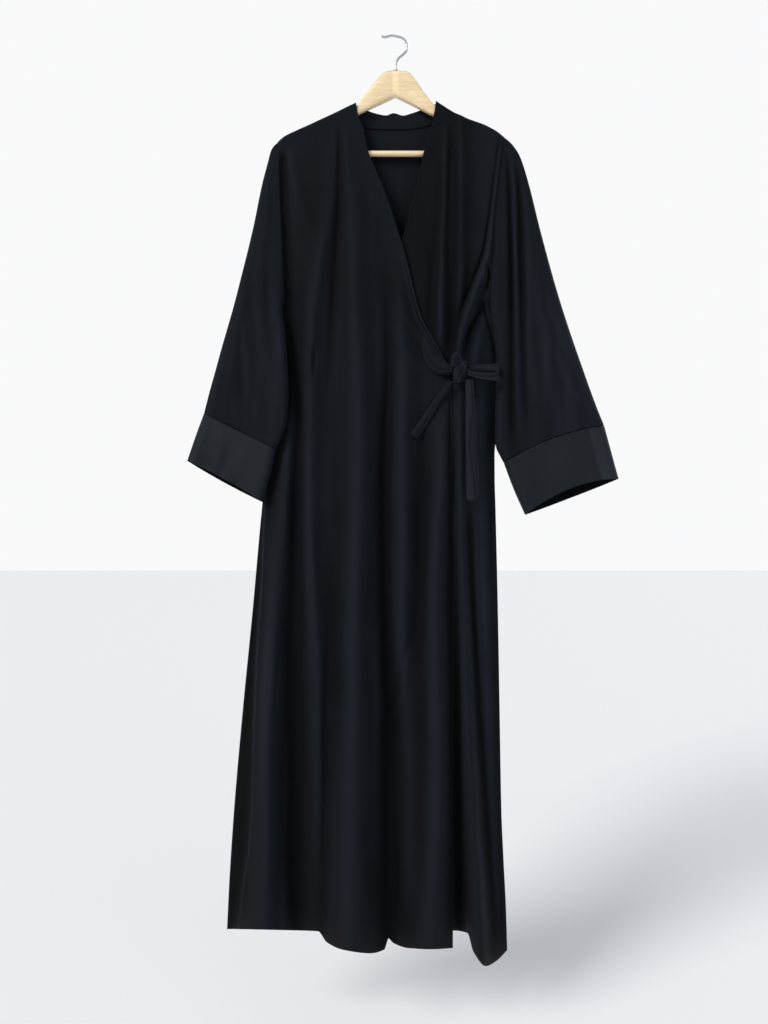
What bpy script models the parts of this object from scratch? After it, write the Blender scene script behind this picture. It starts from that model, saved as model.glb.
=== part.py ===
"""Wrap abaya cloak on a wooden hanger: cloth walls made from seam lines and fold tables.

Lengths are millimetres. +X is the photo's right, -Y is the front, +Z is up.
The origin is the inside top of the hanger's hook.
"""
import bpy
import bmesh
import numpy as np

# Driving sizes
CLOTH = 1.4
TRIM = 1.8
SEAM = 0.3
EYE_X = -21.5
EYE_Z = -816.0
EYE_AWAY = 1500.0
LEAN_FROM = -150.0
LEAN_FULL = -360.0
BAR_RADIUS = 5.0
BAR_Z = -200.0
BAR_FROM = -176.6
BAR_TO = 163.6
HOOK_WIRE = 3.8
HOOK_SWIVEL = 0.45
OVER_LIFT = 4.5
ROUND = 9.0
ARMHOLE_DEPTH = 13.0
SIDE_SOFT = 48.0
SHOULDER_SOFT = 14.0
RIBBON = 1.2
TAIL_CLEAR = 2.6


def smooth(rows, column, at):
    """Runs a smooth curve through one column of a table whose first column is the station."""
    table = np.array(sorted(rows), float)
    s = table[:, 0]
    v = table[:, column]
    step = np.diff(v) / np.diff(s)
    slope = np.empty_like(v)
    slope[0] = step[0]
    slope[-1] = step[-1]
    same = step[:-1] * step[1:] > 0
    total = np.where(same, step[:-1] + step[1:], 1.0)
    slope[1:-1] = np.where(same, 2 * step[:-1] * step[1:] / total, 0.0)
    at = np.clip(np.asarray(at, float), s[0], s[-1])
    i = np.clip(np.searchsorted(s, at, side="right") - 1, 0, len(s) - 2)
    h = s[i + 1] - s[i]
    t = (at - s[i]) / h
    start = v[i] * (1 + 2 * t) * (1 - t) ** 2 + slope[i] * h * t * (1 - t) ** 2
    end = v[i + 1] * t * t * (3 - 2 * t) - slope[i + 1] * h * t * t * (1 - t)
    return start + end


def ease(t):
    """Goes from 0 to 1 with level ends."""
    t = np.clip(t, 0.0, 1.0)
    return t * t * (3 - 2 * t)


def arch(t):
    """A quarter circle from 0 to 1."""
    return np.sqrt(np.clip(1 - (1 - np.clip(t, 0.0, 1.0)) ** 2, 0.0, 1.0))


# Seam and edge lines as (z, x)
ARMHOLE_RIGHT = [(-181, -205), (-230, -203), (-305, -200), (-412, -195), (-452, -192)]
ARMHOLE_LEFT = [(-172, 186), (-192, 181), (-252, 175), (-321, 168), (-400, 163), (-462, 160)]
SIDE_RIGHT = [
    (-452, -192), (-560, -203), (-653, -213), (-709, -219), (-800, -230), (-985, -247),
    (-1157, -264), (-1329, -279), (-1450, -287), (-1533, -291),
]
SIDE_LEFT = [
    (-462, 160), (-520, 168), (-600, 169), (-709, 168), (-813, 170), (-985, 174),
    (-1157, 177), (-1329, 180), (-1420, 184), (-1500, 188), (-1570, 190),
]
OVER_EDGE = [
    (-113, -70), (-140, -65), (-160, -57), (-195, -50), (-235, -34), (-262, -22), (-321, -1),
    (-376, 16), (-434, 30), (-482, 44), (-530, 71), (-560, 86), (-600, 95), (-700, 97),
    (-1100, 97), (-1566, 97),
]
UNDER_EDGE = [
    (-110, 68), (-135, 64), (-194, 48), (-271, 31), (-348, 9), (-450, -25), (-540, -58),
    (-640, -76), (-900, -84), (-1550, -88),
]

# Shoulder, neck and hem lines as (x, z)
SHOULDER_RIGHT = [
    (-205, -181), (-200, -176), (-187, -168), (-168, -159), (-149, -150.5), (-133, -143),
    (-99, -127), (-84, -119.5), (-70, -113),
]
SHOULDER_LEFT = [
    (68, -110), (80, -118), (101, -131), (121, -140), (150, -150.5), (164, -157.5),
    (178, -166), (186, -172),
]
BACK_NECK = [
    (-205, -181), (-187, -168), (-168, -159), (-149, -150.5), (-133, -143), (-104, -129.5),
    (-92, -126), (-74, -138), (-56, -151), (-16, -153), (15, -153), (48, -149), (66, -139),
    (82, -123), (101, -132.5), (121, -141), (150, -151), (164, -158), (186, -172),
]
BAND_TOP = [
    (-91, -123.3), (-84, -119.8), (-70, -113.5), (-60, -117), (-44, -124), (-31, -127.5),
    (-18, -130), (-5, -126), (12, -130), (24, -127), (34, -124), (48, -118), (60, -113),
    (68, -110.5), (75, -115.2), (84, -120.5),
]
OVER_HEM = [
    (-291, -1533), (-200, -1535), (-135, -1537), (-120, -1556), (-92, -1566), (-40, -1571),
    (-20, -1568), (-14, -1549), (-6, -1557), (20, -1566), (60, -1568), (97, -1566),
]
UNDER_HEM = [
    (-88, -1540), (0, -1541), (100, -1536), (122, -1540), (132, -1572), (154, -1597),
    (172, -1588), (190, -1570),
]
BACK_HEM = [(-291, -1533), (-150, -1530), (0, -1528), (110, -1530), (150, -1540), (190, -1570)]

# How far the cloth stands from the seam plane as (z, front, back)
STAND = [
    (-1600, 33, 30), (-1200, 29, 27), (-900, 25, 24), (-700, 21, 21), (-570, 18, 18),
    (-470, 17, 15), (-330, 14, 13), (-200, 11, 11), (-110, 9.6, 9.6),
]

# Folds as (z, x, half_width, rise)
OVER_FOLDS = {
    "shoulder": [(-190, -184, 14, 0), (-225, -181, 14, 4), (-290, -167, 14, 4), (-350, -160, 14, 0)],
    "side": [(-860, -216, 14, 0), (-1060, -218, 15, 9), (-1300, -222, 17, 15), (-1540, -226, 20, 20)],
    "second": [
        (-250, -110, 12, 0), (-320, -121, 12, 5), (-400, -138, 13, 8), (-500, -149, 13, 9),
        (-670, -157, 13, 13), (-840, -156, 14, 16), (-985, -149, 14, 18), (-1100, -141, 15, 19),
        (-1213, -144, 15, 20), (-1560, -149, 18, 22),
    ],
    "main": [
        (-150, -96, 12, 0), (-205, -93, 13, 6), (-305, -80, 16, 11), (-467, -71, 18, 15),
        (-573, -63, 19, 18), (-761, -61, 19, 22), (-985, -68, 19, 25), (-1127, -68, 20, 28),
        (-1299, -72, 23, 32), (-1560, -70, 29, 40),
    ],
    "fourth": [
        (-400, -8, 12, 0), (-467, -1, 13, 4), (-573, 4, 14, 8), (-682, -1, 14, 12),
        (-869, 1, 14, 15), (-1041, 1, 14, 12), (-1250, 0, 14, 4), (-1400, 0, 14, 0),
    ],
    "fifth": [
        (-640, 74, 13, 0), (-740, 72, 15, 9), (-842, 63, 16, 16), (-985, 58, 18, 21),
        (-1186, 60, 20, 25), (-1358, 60, 24, 31), (-1560, 50, 32, 38),
    ],
    "edge": [(-620, 97, 9, 0), (-760, 97, 9, 6), (-1000, 97, 9, 9), (-1566, 97, 10, 10)],
}
UNDER_FOLDS = {
    "strip": [(-140, 84, 8, 0), (-194, 83, 8, 5), (-283, 82, 8, 7), (-365, 77, 8, 7), (-500, 75, 8, 6),
              (-545, 75, 8, 0)],
    "drag": [
        (-190, 170, 9, 0), (-240, 163, 10, 6), (-321, 155, 11, 9), (-381, 150, 12, 12),
        (-424, 146, 12, 13), (-462, 140, 11, 11), (-548, 114, 9, 8), (-580, 106, 9, 0),
    ],
    "ridge": [
        (-600, 116, 9, 0), (-700, 115, 9, 11), (-842, 114, 9, 17), (-1014, 116, 9, 20),
        (-1186, 125, 10, 24), (-1358, 132, 12, 29), (-1590, 148, 18, 40),
    ],
    "edge": [(-700, 160, 7, 0), (-820, 160, 7, 7), (-1100, 165, 7, 8), (-1400, 172, 8, 7), (-1560, 178, 9, 0)],
    "pit": [(-900, 106, 9, 0), (-1200, 107, 8, -10), (-1400, 109, 9, -15), (-1590, 111, 11, -20)],
}
BACK_FOLDS = {
    "one": [(-500, -120, 24, 0), (-900, -150, 26, 5), (-1560, -190, 30, 9)],
    "two": [(-400, -40, 24, 0), (-900, -60, 26, 4), (-1560, -80, 30, 8)],
    "three": [(-450, 50, 24, 0), (-900, 40, 26, 5), (-1560, 30, 30, 9)],
    "four": [(-600, 120, 20, 0), (-1000, 120, 22, 4), (-1560, 130, 24, 7)],
}


def fold_rise(folds, x, z):
    """Adds up the folds: each is a bell across its line, and its line, width and rise run down its table."""
    total = np.zeros_like(x)
    for rows in folds.values():
        across = (x - smooth(rows, 1, z)) / smooth(rows, 2, z)
        total = total + smooth(rows, 3, z) * np.exp(-across * across)
    return total


def toward_eye(points):
    """Moves points read off the photo along their sight lines to their own depth."""
    out = points.copy()
    weight = ease((LEAN_FROM - points[..., 2]) / (LEAN_FROM - LEAN_FULL))
    scale = 1 + weight * points[..., 1] / EYE_AWAY
    out[..., 0] = EYE_X + (points[..., 0] - EYE_X) * scale
    out[..., 2] = EYE_Z + (points[..., 2] - EYE_Z) * scale
    return out


def facing(grid, ring):
    """The grid's unit normals."""
    if ring:
        across = np.roll(grid, -1, 1) - np.roll(grid, 1, 1)
    else:
        across = np.gradient(grid, axis=1)
    n = np.cross(across, np.gradient(grid, axis=0))
    return n / np.maximum(np.linalg.norm(n, axis=2, keepdims=True), 1e-9)


def body_object(name, points, faces, colour, roughness, metallic=0.0):
    """Makes one closed body with its own material, faces outward."""
    mesh = bpy.data.meshes.new(name)
    mesh.from_pydata((np.reshape(points, (-1, 3)) * 0.001).tolist(), [], faces)
    work = bmesh.new()
    work.from_mesh(mesh)
    bmesh.ops.recalc_face_normals(work, faces=work.faces)
    work.to_mesh(mesh)
    work.free()
    made = bpy.data.objects.new(name, mesh)
    bpy.context.scene.collection.objects.link(made)
    material = bpy.data.materials.new(name)
    material.use_nodes = True
    shader = material.node_tree.nodes["Principled BSDF"]
    shader.inputs["Base Color"].default_value = (*colour, 1.0)
    shader.inputs["Roughness"].default_value = roughness
    shader.inputs["Metallic"].default_value = metallic
    mesh.materials.append(material)
    return made


def wall_faces(rows, columns, ring):
    """Triangles of an outer and an inner grid, cut along the same diagonals, joined along their open edges."""
    faces = []
    other = rows * columns
    last = columns if ring else columns - 1
    for r in range(rows - 1):
        for c in range(last):
            a = r * columns + c
            d = r * columns + (c + 1) % columns
            b = a + columns
            e = d + columns
            faces += [(a, d, e), (a, e, b), (other + e, other + d, other + a), (other + b, other + e, other + a)]
    for c in range(last):
        d = (c + 1) % columns
        b = (rows - 1) * columns
        faces.append((c, other + c, other + d, d))
        faces.append((b + c, b + d, other + b + d, other + b + c))
    if not ring:
        for r in range(rows - 1):
            a = r * columns
            b = a + columns
            e = columns - 1
            faces.append((a, b, other + b, other + a))
            faces.append((a + e, other + a + e, other + b + e, b + e))
    return faces


def cloth_wall(name, outer, inner, ring, colour, roughness):
    """One closed wall between two grids."""
    rows, columns = outer.shape[:2]
    points = np.concatenate([outer.reshape(-1, 3), inner.reshape(-1, 3)])
    return body_object(name, points, wall_faces(rows, columns, ring), colour, roughness)


def lay_out(left, right, top, hem, us, vs, top_fade, hem_fade):
    """A four-sided patch: straight rows between the side lines, pulled to the top and hem lines near them."""
    u, v = np.meshgrid(us, vs)
    left_z = left[0][0] + (left[-1][0] - left[0][0]) * v
    right_z = right[0][0] + (right[-1][0] - right[0][0]) * v
    left_x = smooth(left, 1, left_z)
    right_x = smooth(right, 1, right_z)
    x = left_x + (right_x - left_x) * u
    z = left_z + (right_z - left_z) * u
    straight_top = left[0][0] + (right[0][0] - left[0][0]) * us
    straight_hem = left[-1][0] + (right[-1][0] - left[-1][0]) * us
    top_x = left[0][1] + (right[0][1] - left[0][1]) * us
    hem_x = left[-1][1] + (right[-1][1] - left[-1][1]) * us
    z = z + (smooth(top, 1, top_x) - straight_top) * np.clip(1 - v / top_fade, 0, 1) ** 2
    z = z + (smooth(hem, 1, hem_x) - straight_hem) * np.clip(1 - (1 - v) / hem_fade, 0, 1) ** 2
    return x, z


def side_depth(full, away, z, hole):
    """Depth near an armhole or a side seam: the armhole stands open, the side seam is nearly flat."""
    top = hole[0][0]
    low = hole[-1][0]
    share = np.clip((top - z) / (top - low), 0, 1)
    open_by = ARMHOLE_DEPTH * 2 * np.sqrt(share * (1 - share))
    start = SEAM / 2 + np.where(z > low, open_by, 0) + 2.4 * arch(away / 4.0) * (1 - open_by / ARMHOLE_DEPTH)
    soft = SHOULDER_SOFT + (SIDE_SOFT - SHOULDER_SOFT) * ease((-z - 215) / 90)
    return start + np.maximum(full - start, 0) * ease(away / soft)


def row_stations(above, below, underarms):
    """Rows close together over the shoulder, even to the underarm, then even to the hem."""
    start = [0, 0.0012, 0.0032, 0.006, 0.011]
    upper = np.linspace(0.022, underarms[0], above)
    lower = np.linspace(underarms[-1], 1, below)
    return np.unique(np.concatenate([start, upper, lower]))


UNDERARM_RIGHT = (452 - 181) / (1533 - 181)
UNDERARM_LEFT = (462 - 172) / (1570 - 172)


BLACK = (0.012, 0.013, 0.018)
CUFF = (0.022, 0.026, 0.036)


def front_right_grid(columns, above, below):
    """The over front: wearer's right shoulder to the tie and the free edge."""
    us = np.concatenate([[0, 0.006, 0.014], np.linspace(0.03, 1, columns)])
    left = ARMHOLE_RIGHT + SIDE_RIGHT[1:]
    x, z = lay_out(left, OVER_EDGE, SHOULDER_RIGHT, OVER_HEM, us,
                   row_stations(above, below, [UNDERARM_RIGHT]), 0.16, 0.3)
    away = x - x[:, :1]
    full = smooth(STAND, 1, z) + OVER_LIFT * ease((-z - 150) / 150) + fold_rise(OVER_FOLDS, x, z)
    depth = side_depth(full, away, z, ARMHOLE_RIGHT)
    below = z[:1, :] - z
    depth = SEAM / 2 + (depth - SEAM / 2) * arch(below / ROUND)
    outer = np.stack([x, -depth, z], axis=2)
    return outer


def front_left_grid(columns, above, below):
    """The under front: wearer's left shoulder and side, its free edge hidden under the other front."""
    us = np.concatenate([np.linspace(0, 0.97, columns), [0.986, 0.994, 1]])
    right = ARMHOLE_LEFT + SIDE_LEFT[1:]
    x, z = lay_out(UNDER_EDGE, right, SHOULDER_LEFT, UNDER_HEM, us,
                   row_stations(above, below, [UNDERARM_LEFT]), 0.16, 0.3)
    away = x[:, -1:] - x
    full = smooth(STAND, 1, z) + fold_rise(UNDER_FOLDS, x, z)
    depth = side_depth(full, away, z, ARMHOLE_LEFT)
    below = z[:1, :] - z
    depth = SEAM / 2 + (depth - SEAM / 2) * arch(below / ROUND)
    return np.stack([x, -depth, z], axis=2)


def back_grid(sides, neck, above, below):
    """The back, one piece from side seam to side seam, its columns closer at the neck."""
    us = np.concatenate([[0, 0.004, 0.009], np.linspace(0.02, 0.265, sides), np.linspace(0.285, 0.7, neck),
                         np.linspace(0.735, 0.98, sides), [0.991, 0.996, 1]])
    left = ARMHOLE_RIGHT + SIDE_RIGHT[1:]
    right = ARMHOLE_LEFT + SIDE_LEFT[1:]
    x, z = lay_out(left, right, BACK_NECK, BACK_HEM, us,
                   row_stations(above, below, [UNDERARM_RIGHT, UNDERARM_LEFT]), 0.2, 0.3)
    full = smooth(STAND, 2, z) + fold_rise(BACK_FOLDS, x, z)
    near_right = side_depth(full, x - x[:, :1], z, ARMHOLE_RIGHT)
    near_left = side_depth(full, x[:, -1:] - x, z, ARMHOLE_LEFT)
    depth = np.minimum(near_right, near_left)
    below = z[:1, :] - z
    open_neck = ease((x[:1, :] + 92) / 10) * ease((90 - x[:1, :]) / 8)
    over = np.maximum(arch(below / ROUND), open_neck)
    depth = SEAM / 2 + (depth - SEAM / 2) * over
    return np.stack([x, depth, z], axis=2)


def neckband_grid(back, rows):
    """The standing band round the back of the neck: it rises from the back's own top edge."""
    edge = back[0][(back[0][:, 0] > -81.5) & (back[0][:, 0] < 81)]
    x = edge[None, :, 0] + np.zeros((rows, 1))
    v = np.linspace(0, 1, rows)[:, None]
    low = edge[None, :, 2] + SEAM
    top = np.maximum(smooth(BAND_TOP, 1, x), low + 1.0)
    z = low + (top - low) * v
    free = ease((x + 80) / 9) * ease((79 - x) / 9)
    over = np.maximum(free, np.clip((top - z) / ROUND, 0, 1))
    depth = np.maximum(edge[None, :, 1] * over, SEAM / 2)
    return np.stack([x, depth, z], axis=2)


# Sleeves as (v, top_x, top_z, under_z, half_depth, forward)
SLEEVE_RIGHT = [
    (0.0, -215, -194, -189, 4, 0), (0.06, -221, -214, -206, 6, 0), (0.15, -231, -252, -240, 10, 0),
    (0.3, -246, -325, -315, 13, 0), (0.48, -271, -427, -420, 14, 0), (0.54, -279, -458, -452.5, 14, 0),
    (0.6, -288, -490, -490, 14, -11), (0.7, -301, -535, -550, 15, -19), (0.8, -312, -575, -610, 16, -23),
    (0.9, -322, -611, -658, 15, -24), (1.0, -331, -646, -708, 15, -20),
]
SLEEVE_LEFT = [
    (0.0, 200, -186, -180, 4, 0), (0.06, 212, -204, -197, 6, 0), (0.15, 227, -250, -238, 10, 0),
    (0.3, 246, -326, -312, 13, 0), (0.48, 270, -415, -415, 14, 0), (0.55, 284, -462, -463.2, 15, 0),
    (0.62, 298, -505, -503, 16, -4), (0.72, 317, -560, -560, 17, -7), (0.82, 334, -608, -625, 18, -9),
    (0.91, 346, -640, -690, 17, -10), (1.0, 357, -667, -731, 16, -10),
]
INNER_RIGHT = [
    (-452.5, -192.8), (-470, -194.6), (-490, -193), (-550, -188), (-610, -185), (-658, -188),
    (-685, -196), (-708, -207),
]
INNER_LEFT = [
    (-463.2, 160.8), (-480, 165.4), (-500, 168.6), (-530, 172), (-558, 173.5), (-630, 172.5),
    (-690, 171.5), (-712, 176), (-731, 184),
]
# Cuffs as (v, top_x, top_z, under_x, under_z, half_depth, forward, front_bow, back_bow)
CUFF_RIGHT = [
    (0.0, -331.3, -647, -207.2, -709, 15.6, -20, 0, 0), (0.5, -346, -687, -217, -752, 15, -17, 0, 0),
    (1.0, -360, -728, -230, -799, 14, -14, 0, 0),
]
CUFF_LEFT = [
    (0.0, 357.4, -668, 184.4, -732, 16.6, -10, 11, 11), (0.5, 369.5, -713, 201, -776, 16, -9, 13, 8),
    (1.0, 382, -759, 221, -821, 16, -8, 15, 1),
]
SLEEVE_RIGHT_FOLDS = {
    "ridge": [(-600, -212, 18, 0), (-530, -230, 16, 4), (-440, -238, 13, 6), (-300, -226, 12, 3), (-230, -214, 12, 0)],
}
SLEEVE_LEFT_FOLDS = {
    "inner": [(-700, 200, 10, 0), (-620, 200, 9, -6), (-400, 197, 8, -9), (-250, 194, 7, -8), (-200, 192, 7, 0)],
    "outer": [(-690, 226, 10, 0), (-600, 222, 9, -5), (-400, 216, 8, -8), (-260, 212, 7, -6), (-210, 206, 7, 0)],
}
TUBE_ROUND = 14.0
UNDER_SOFT = 55.0


def spread(count):
    """Stations from 0 to 1, close together at both ends."""
    return (1 - np.cos(np.linspace(0, np.pi, count))) / 2


def layer(top_x, top_z, low_x, low_z, half, forward, open_by, front, t):
    """One side of a flattened tube: t runs from its outer edge to its inner edge."""
    x = top_x + (low_x - top_x) * t
    z = top_z + (low_z - top_z) * t
    width = np.hypot(low_x - top_x, low_z - top_z)
    from_top = arch(width * t / TUBE_ROUND)
    soft = np.where(front > 0, TUBE_ROUND, UNDER_SOFT)
    half = np.where(front > 0, half, half * 0.75)
    ratio = np.clip(open_by / half, 0, 1)
    deep = half * from_top * (ratio + (1 - ratio) * arch(width * (1 - t) / soft))
    middle = forward * t ** 1.5
    return x, middle - front * np.maximum(deep, SEAM / 2), z, middle


def sleeve_grid(table, armhole, inner, side, folds, across, rows, bow):
    """A sleeve cut as one piece: from the front of the armhole round its outer edge to the back, row by row down."""
    even = 0.6 * spread(across) + 0.4 * np.linspace(0, 1, across)
    t = np.concatenate([even[::-1], even[1:]])[None, :]
    front = np.concatenate([np.ones(across), -np.ones(across - 1)])[None, :]
    v = np.linspace(0, 1, rows)[:, None]
    low_z = smooth(table, 3, v)
    low = armhole[-1][0]
    low_x = np.where(low_z > low, smooth(armhole, 1, low_z) + 0.5 * side, smooth(inner, 1, low_z))
    share = np.clip((armhole[0][0] - low_z) / (armhole[0][0] - low), 0, 1)
    open_by = ARMHOLE_DEPTH * 2 * np.sqrt(share * (1 - share)) * arch((armhole[0][0] - low_z) / ROUND)
    x, y, z, middle = layer(smooth(table, 1, v), smooth(table, 2, v), low_x, low_z, smooth(table, 4, v),
                            smooth(table, 5, v), open_by, front, t)
    z = z + bow * 4 * t * (1 - t) * v ** 5
    inside = np.sin(np.pi * t) ** 0.7
    y = y - np.where(front > 0, fold_rise(folds, x, z) * inside, 0)
    return np.stack([x, y, z], axis=2), middle + 0 * x, front + 0 * x


def cuff_grid(table, across, rows):
    """A cuff: a closed ring carried down from the sleeve's end, its back edge lower than its front."""
    t = np.concatenate([spread(across)[::-1], spread(across)[1:-1]])[None, :]
    front = np.concatenate([np.ones(across), -np.ones(across - 2)])[None, :]
    v = np.linspace(0, 1, rows)[:, None]
    x, y, z, middle = layer(smooth(table, 1, v), smooth(table, 2, v), smooth(table, 3, v), smooth(table, 4, v),
                            smooth(table, 5, v), smooth(table, 6, v), 0.0, front, t)
    y = np.where((t > 0.001) & (t < 0.999), y, middle)
    z = z + np.where(front > 0, smooth(table, 7, v), smooth(table, 8, v)) * 4 * t * (1 - t)
    return np.stack([x, y, z], axis=2), middle + 0 * x, front + 0 * x


def thicken(outer, thick, ring, front, middle):
    """The wall's other face, on the side away from its normals, kept on its own side of the seam plane."""
    n = facing(outer, ring)
    if thick < 0:
        width = np.linalg.norm(outer.max(axis=1) - outer.min(axis=1), axis=1)[:, None, None]
        thick = -thick * np.clip(width / 24.0, 0.45, 1.0)
    if np.sum(n[..., 1] * front) > 0:
        n = -n
    inner = outer - n * thick
    inner[..., 1] = np.where(
        front > 0, np.minimum(inner[..., 1], middle - SEAM / 2), np.maximum(inner[..., 1], middle + SEAM / 2)
    )
    return inner


def panel(name, outer, thick, front, colour, roughness=0.9):
    """A flat piece's wall, moved to its true depth."""
    inner = thicken(outer, thick, False, np.full(outer.shape[:2], -front), 0.0)
    return cloth_wall(name, toward_eye(outer), toward_eye(inner), False, colour, roughness)


def tube(name, made, thick, ring, colour, roughness=0.9):
    """A sleeve's or cuff's wall."""
    outer, middle, front = made
    inner = thicken(outer, thick, ring, front, middle)
    edge = np.abs(outer[..., 1] - middle) < 1e-6
    inner[..., 1] = np.where(edge, middle, inner[..., 1])
    return cloth_wall(name, toward_eye(outer), toward_eye(inner), ring, colour, roughness)


def strip(name, path, across, face, widths, colour=BLACK, cup=0.0):
    """A strap wall: across is the width's way at each station, face the way it looks, cup its bend."""
    path = np.asarray(path, float)
    u = np.linspace(-1, 1, 5)[None, :, None]
    widths = np.asarray(widths, float)[:, None, None] / 2
    middle = path[:, None, :] + across[:, None, :] * u * widths
    middle = middle + face[:, None, :] * cup * (1 - u * u)
    outer = middle + face[:, None, :] * RIBBON / 2
    inner = middle - face[:, None, :] * RIBBON / 2
    return cloth_wall(name, toward_eye(outer), toward_eye(inner), False, colour, 0.85)


def along(rows, count):
    """Points along a table of (share, x, y, z, width)."""
    s = np.linspace(0, 1, count)
    path = np.stack([smooth(rows, 1, s), smooth(rows, 2, s), smooth(rows, 3, s)], axis=1)
    return path, smooth(rows, 4, s)


def over_depth(x, z):
    """How far forward the over front stands."""
    return smooth(STAND, 1, z) + OVER_LIFT + fold_rise(OVER_FOLDS, x, z)


def rod(name, path, radius, sides, colour, roughness, metallic):
    """A round rod swept along a path, with flat ends."""
    path = np.asarray(path, float)
    line = np.gradient(path, axis=0)
    line /= np.linalg.norm(line, axis=1, keepdims=True)
    side = np.cross(line, np.array([0.0, 1.0, 0.0]) + 0 * line)
    side /= np.linalg.norm(side, axis=1, keepdims=True)
    other = np.cross(line, side)
    a = np.linspace(0, 2 * np.pi, sides, endpoint=False)[None, :, None]
    points = path[:, None, :] + radius * (np.cos(a) * side[:, None, :] + np.sin(a) * other[:, None, :])
    rows = len(path)
    faces = []
    for r in range(rows - 1):
        for c in range(sides):
            d = (c + 1) % sides
            faces.append((r * sides + c, r * sides + d, (r + 1) * sides + d, (r + 1) * sides + c))
    faces.append(tuple(range(sides)))
    faces.append(tuple(range(rows * sides - 1, (rows - 1) * sides - 1, -1)))
    return body_object(name, points, faces, colour, roughness, metallic)


# Hanger edges as (x, top_z, low_z, half_depth)
HANGER = [
    (-190, -179.5, -204, 4.9), (-187.5, -175.5, -211, 7.2), (-177, -169.5, -212, 7.5),
    (-176.9, -169.5, -191, 7.5), (-168, -164.5, -187, 7.5), (-133, -148, -170, 7.5),
    (-99, -135.8, -155, 6.2), (-72, -121.5, -137, 6.2), (-52.5, -96, -126.5, 6.6), (-35, -75, -118.5, 7.5),
    (-24, -63, -113.5, 8.3), (-15, -59, -109.3, 8.8), (-1.7, -58.5, -102.9, 9.0), (15, -59, -111, 8.8),
    (24, -63, -115.5, 8.3), (35, -76, -121, 7.5), (51, -99, -129.5, 6.6), (70, -121.5, -139, 6.2),
    (97, -135.5, -156, 6.6), (121, -145.8, -168, 7.5), (150, -156, -180, 7.5), (163.9, -163, -190, 7.5),
    (164, -163, -212, 7.5), (172, -168, -212, 7.3), (174.5, -172, -209, 4.9),
]
HOOK = [
    (0.0, -1, -58.7), (0.1, -1, -46), (0.17, 3, -36), (0.27, 12, -26), (0.36, 17.6, -17), (0.44, 18, -8),
    (0.52, 14.6, -0.8), (0.6, 7, 1.9), (0.68, -2, 1.9), (0.76, -9.5, 0.6), (0.84, -15.5, -2.2),
    (0.92, -20.5, -4.6), (1.0, -25.5, -4.2),
]


def hanger_body(name):
    """The wooden arms: a rounded oblong section between the top and lower edge, station by station."""
    table = np.array(HANGER, float)
    turn = np.linspace(0, 2 * np.pi, 12, endpoint=False)[None, :] + np.pi / 12
    flat = 0.55
    c = np.sign(np.cos(turn)) * np.abs(np.cos(turn)) ** flat
    s = np.sign(np.sin(turn)) * np.abs(np.sin(turn)) ** flat
    x = table[:, :1] + 0 * turn
    middle = (table[:, 1:2] + table[:, 2:3]) / 2
    half = (table[:, 1:2] - table[:, 2:3]) / 2
    points = np.stack([x, table[:, 3:4] * c, middle + half * s], axis=2)
    rows, sides = points.shape[:2]
    faces = []
    for r in range(rows - 1):
        for k in range(sides):
            d = (k + 1) % sides
            faces.append((r * sides + k, r * sides + d, (r + 1) * sides + d, (r + 1) * sides + k))
    faces.append(tuple(range(sides)))
    faces.append(tuple(range(rows * sides - 1, (rows - 1) * sides - 1, -1)))
    return body_object(name, points, faces, (0.55, 0.36, 0.2), 0.45)


def hook(name):
    """The hook's wire, turned a little on its stem."""
    s = np.linspace(0, 1, 30)
    x = smooth(HOOK, 1, s)
    z = smooth(HOOK, 2, s)
    path = np.stack([x, x * HOOK_SWIVEL, z], axis=1)
    return rod(name, path, HOOK_WIRE / 2, 10, (0.7, 0.7, 0.72), 0.15, 1.0)


def knot(name):
    """The tie's knot: a short upright bundle, pinched at its middle."""
    rows, sides = 9, 14
    v = np.linspace(-1, 1, rows)[:, None]
    turn = np.linspace(0, 2 * np.pi, sides, endpoint=False)[None, :]
    width = 12.5 * np.sqrt(1 - 0.6 * v * v)
    depth = 9.5 * np.sqrt(1 - 0.7 * v * v)
    ripple = 1 + 0.08 * np.cos(3 * turn + 0.8)
    x = 109 + 3 * v + width * np.cos(turn) * ripple
    y = -37 + depth * np.sin(turn) * ripple
    z = -575 + 20 * v + 0 * turn
    points = toward_eye(np.stack([x, y, z], axis=2))
    faces = []
    for r in range(rows - 1):
        for k in range(sides):
            d = (k + 1) % sides
            faces.append((r * sides + k, r * sides + d, (r + 1) * sides + d, (r + 1) * sides + k))
    faces.append(tuple(range(sides)))
    faces.append(tuple(range(rows * sides - 1, (rows - 1) * sides - 1, -1)))
    return body_object(name, points, faces, BLACK, 0.85)


# Ties as (share, x, y, z, width)
TIE_BAND = [(0, 44, 0, -500, 9), (0.4, 64, 0, -535, 17), (0.8, 84, 0, -566, 20), (1, 96.3, 0, -572, 14)]
TAIL_SHORT = [(0, 93.6, 0, -592, 12), (0.5, 62, 0, -640, 17), (1, 28, 0, -686, 17)]
TAIL_LONG = [
    (0, 125.8, -37, -588, 14), (0.3, 127, -41, -640, 17), (0.6, 129, -44, -700, 20), (0.85, 130, -47, -762, 24),
    (1, 129, -48, -797, 15),
]
LOOP = [
    (0, 121.8, -33.5, -574, 13), (0.2, 145, -31, -573, 18), (0.42, 171, -32, -575, 24), (0.5, 178, -36.5, -576, 25),
    (0.58, 171, -41.5, -577, 24), (0.8, 145, -44, -577, 18), (1, 122.3, -41, -577, 12),
]


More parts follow.
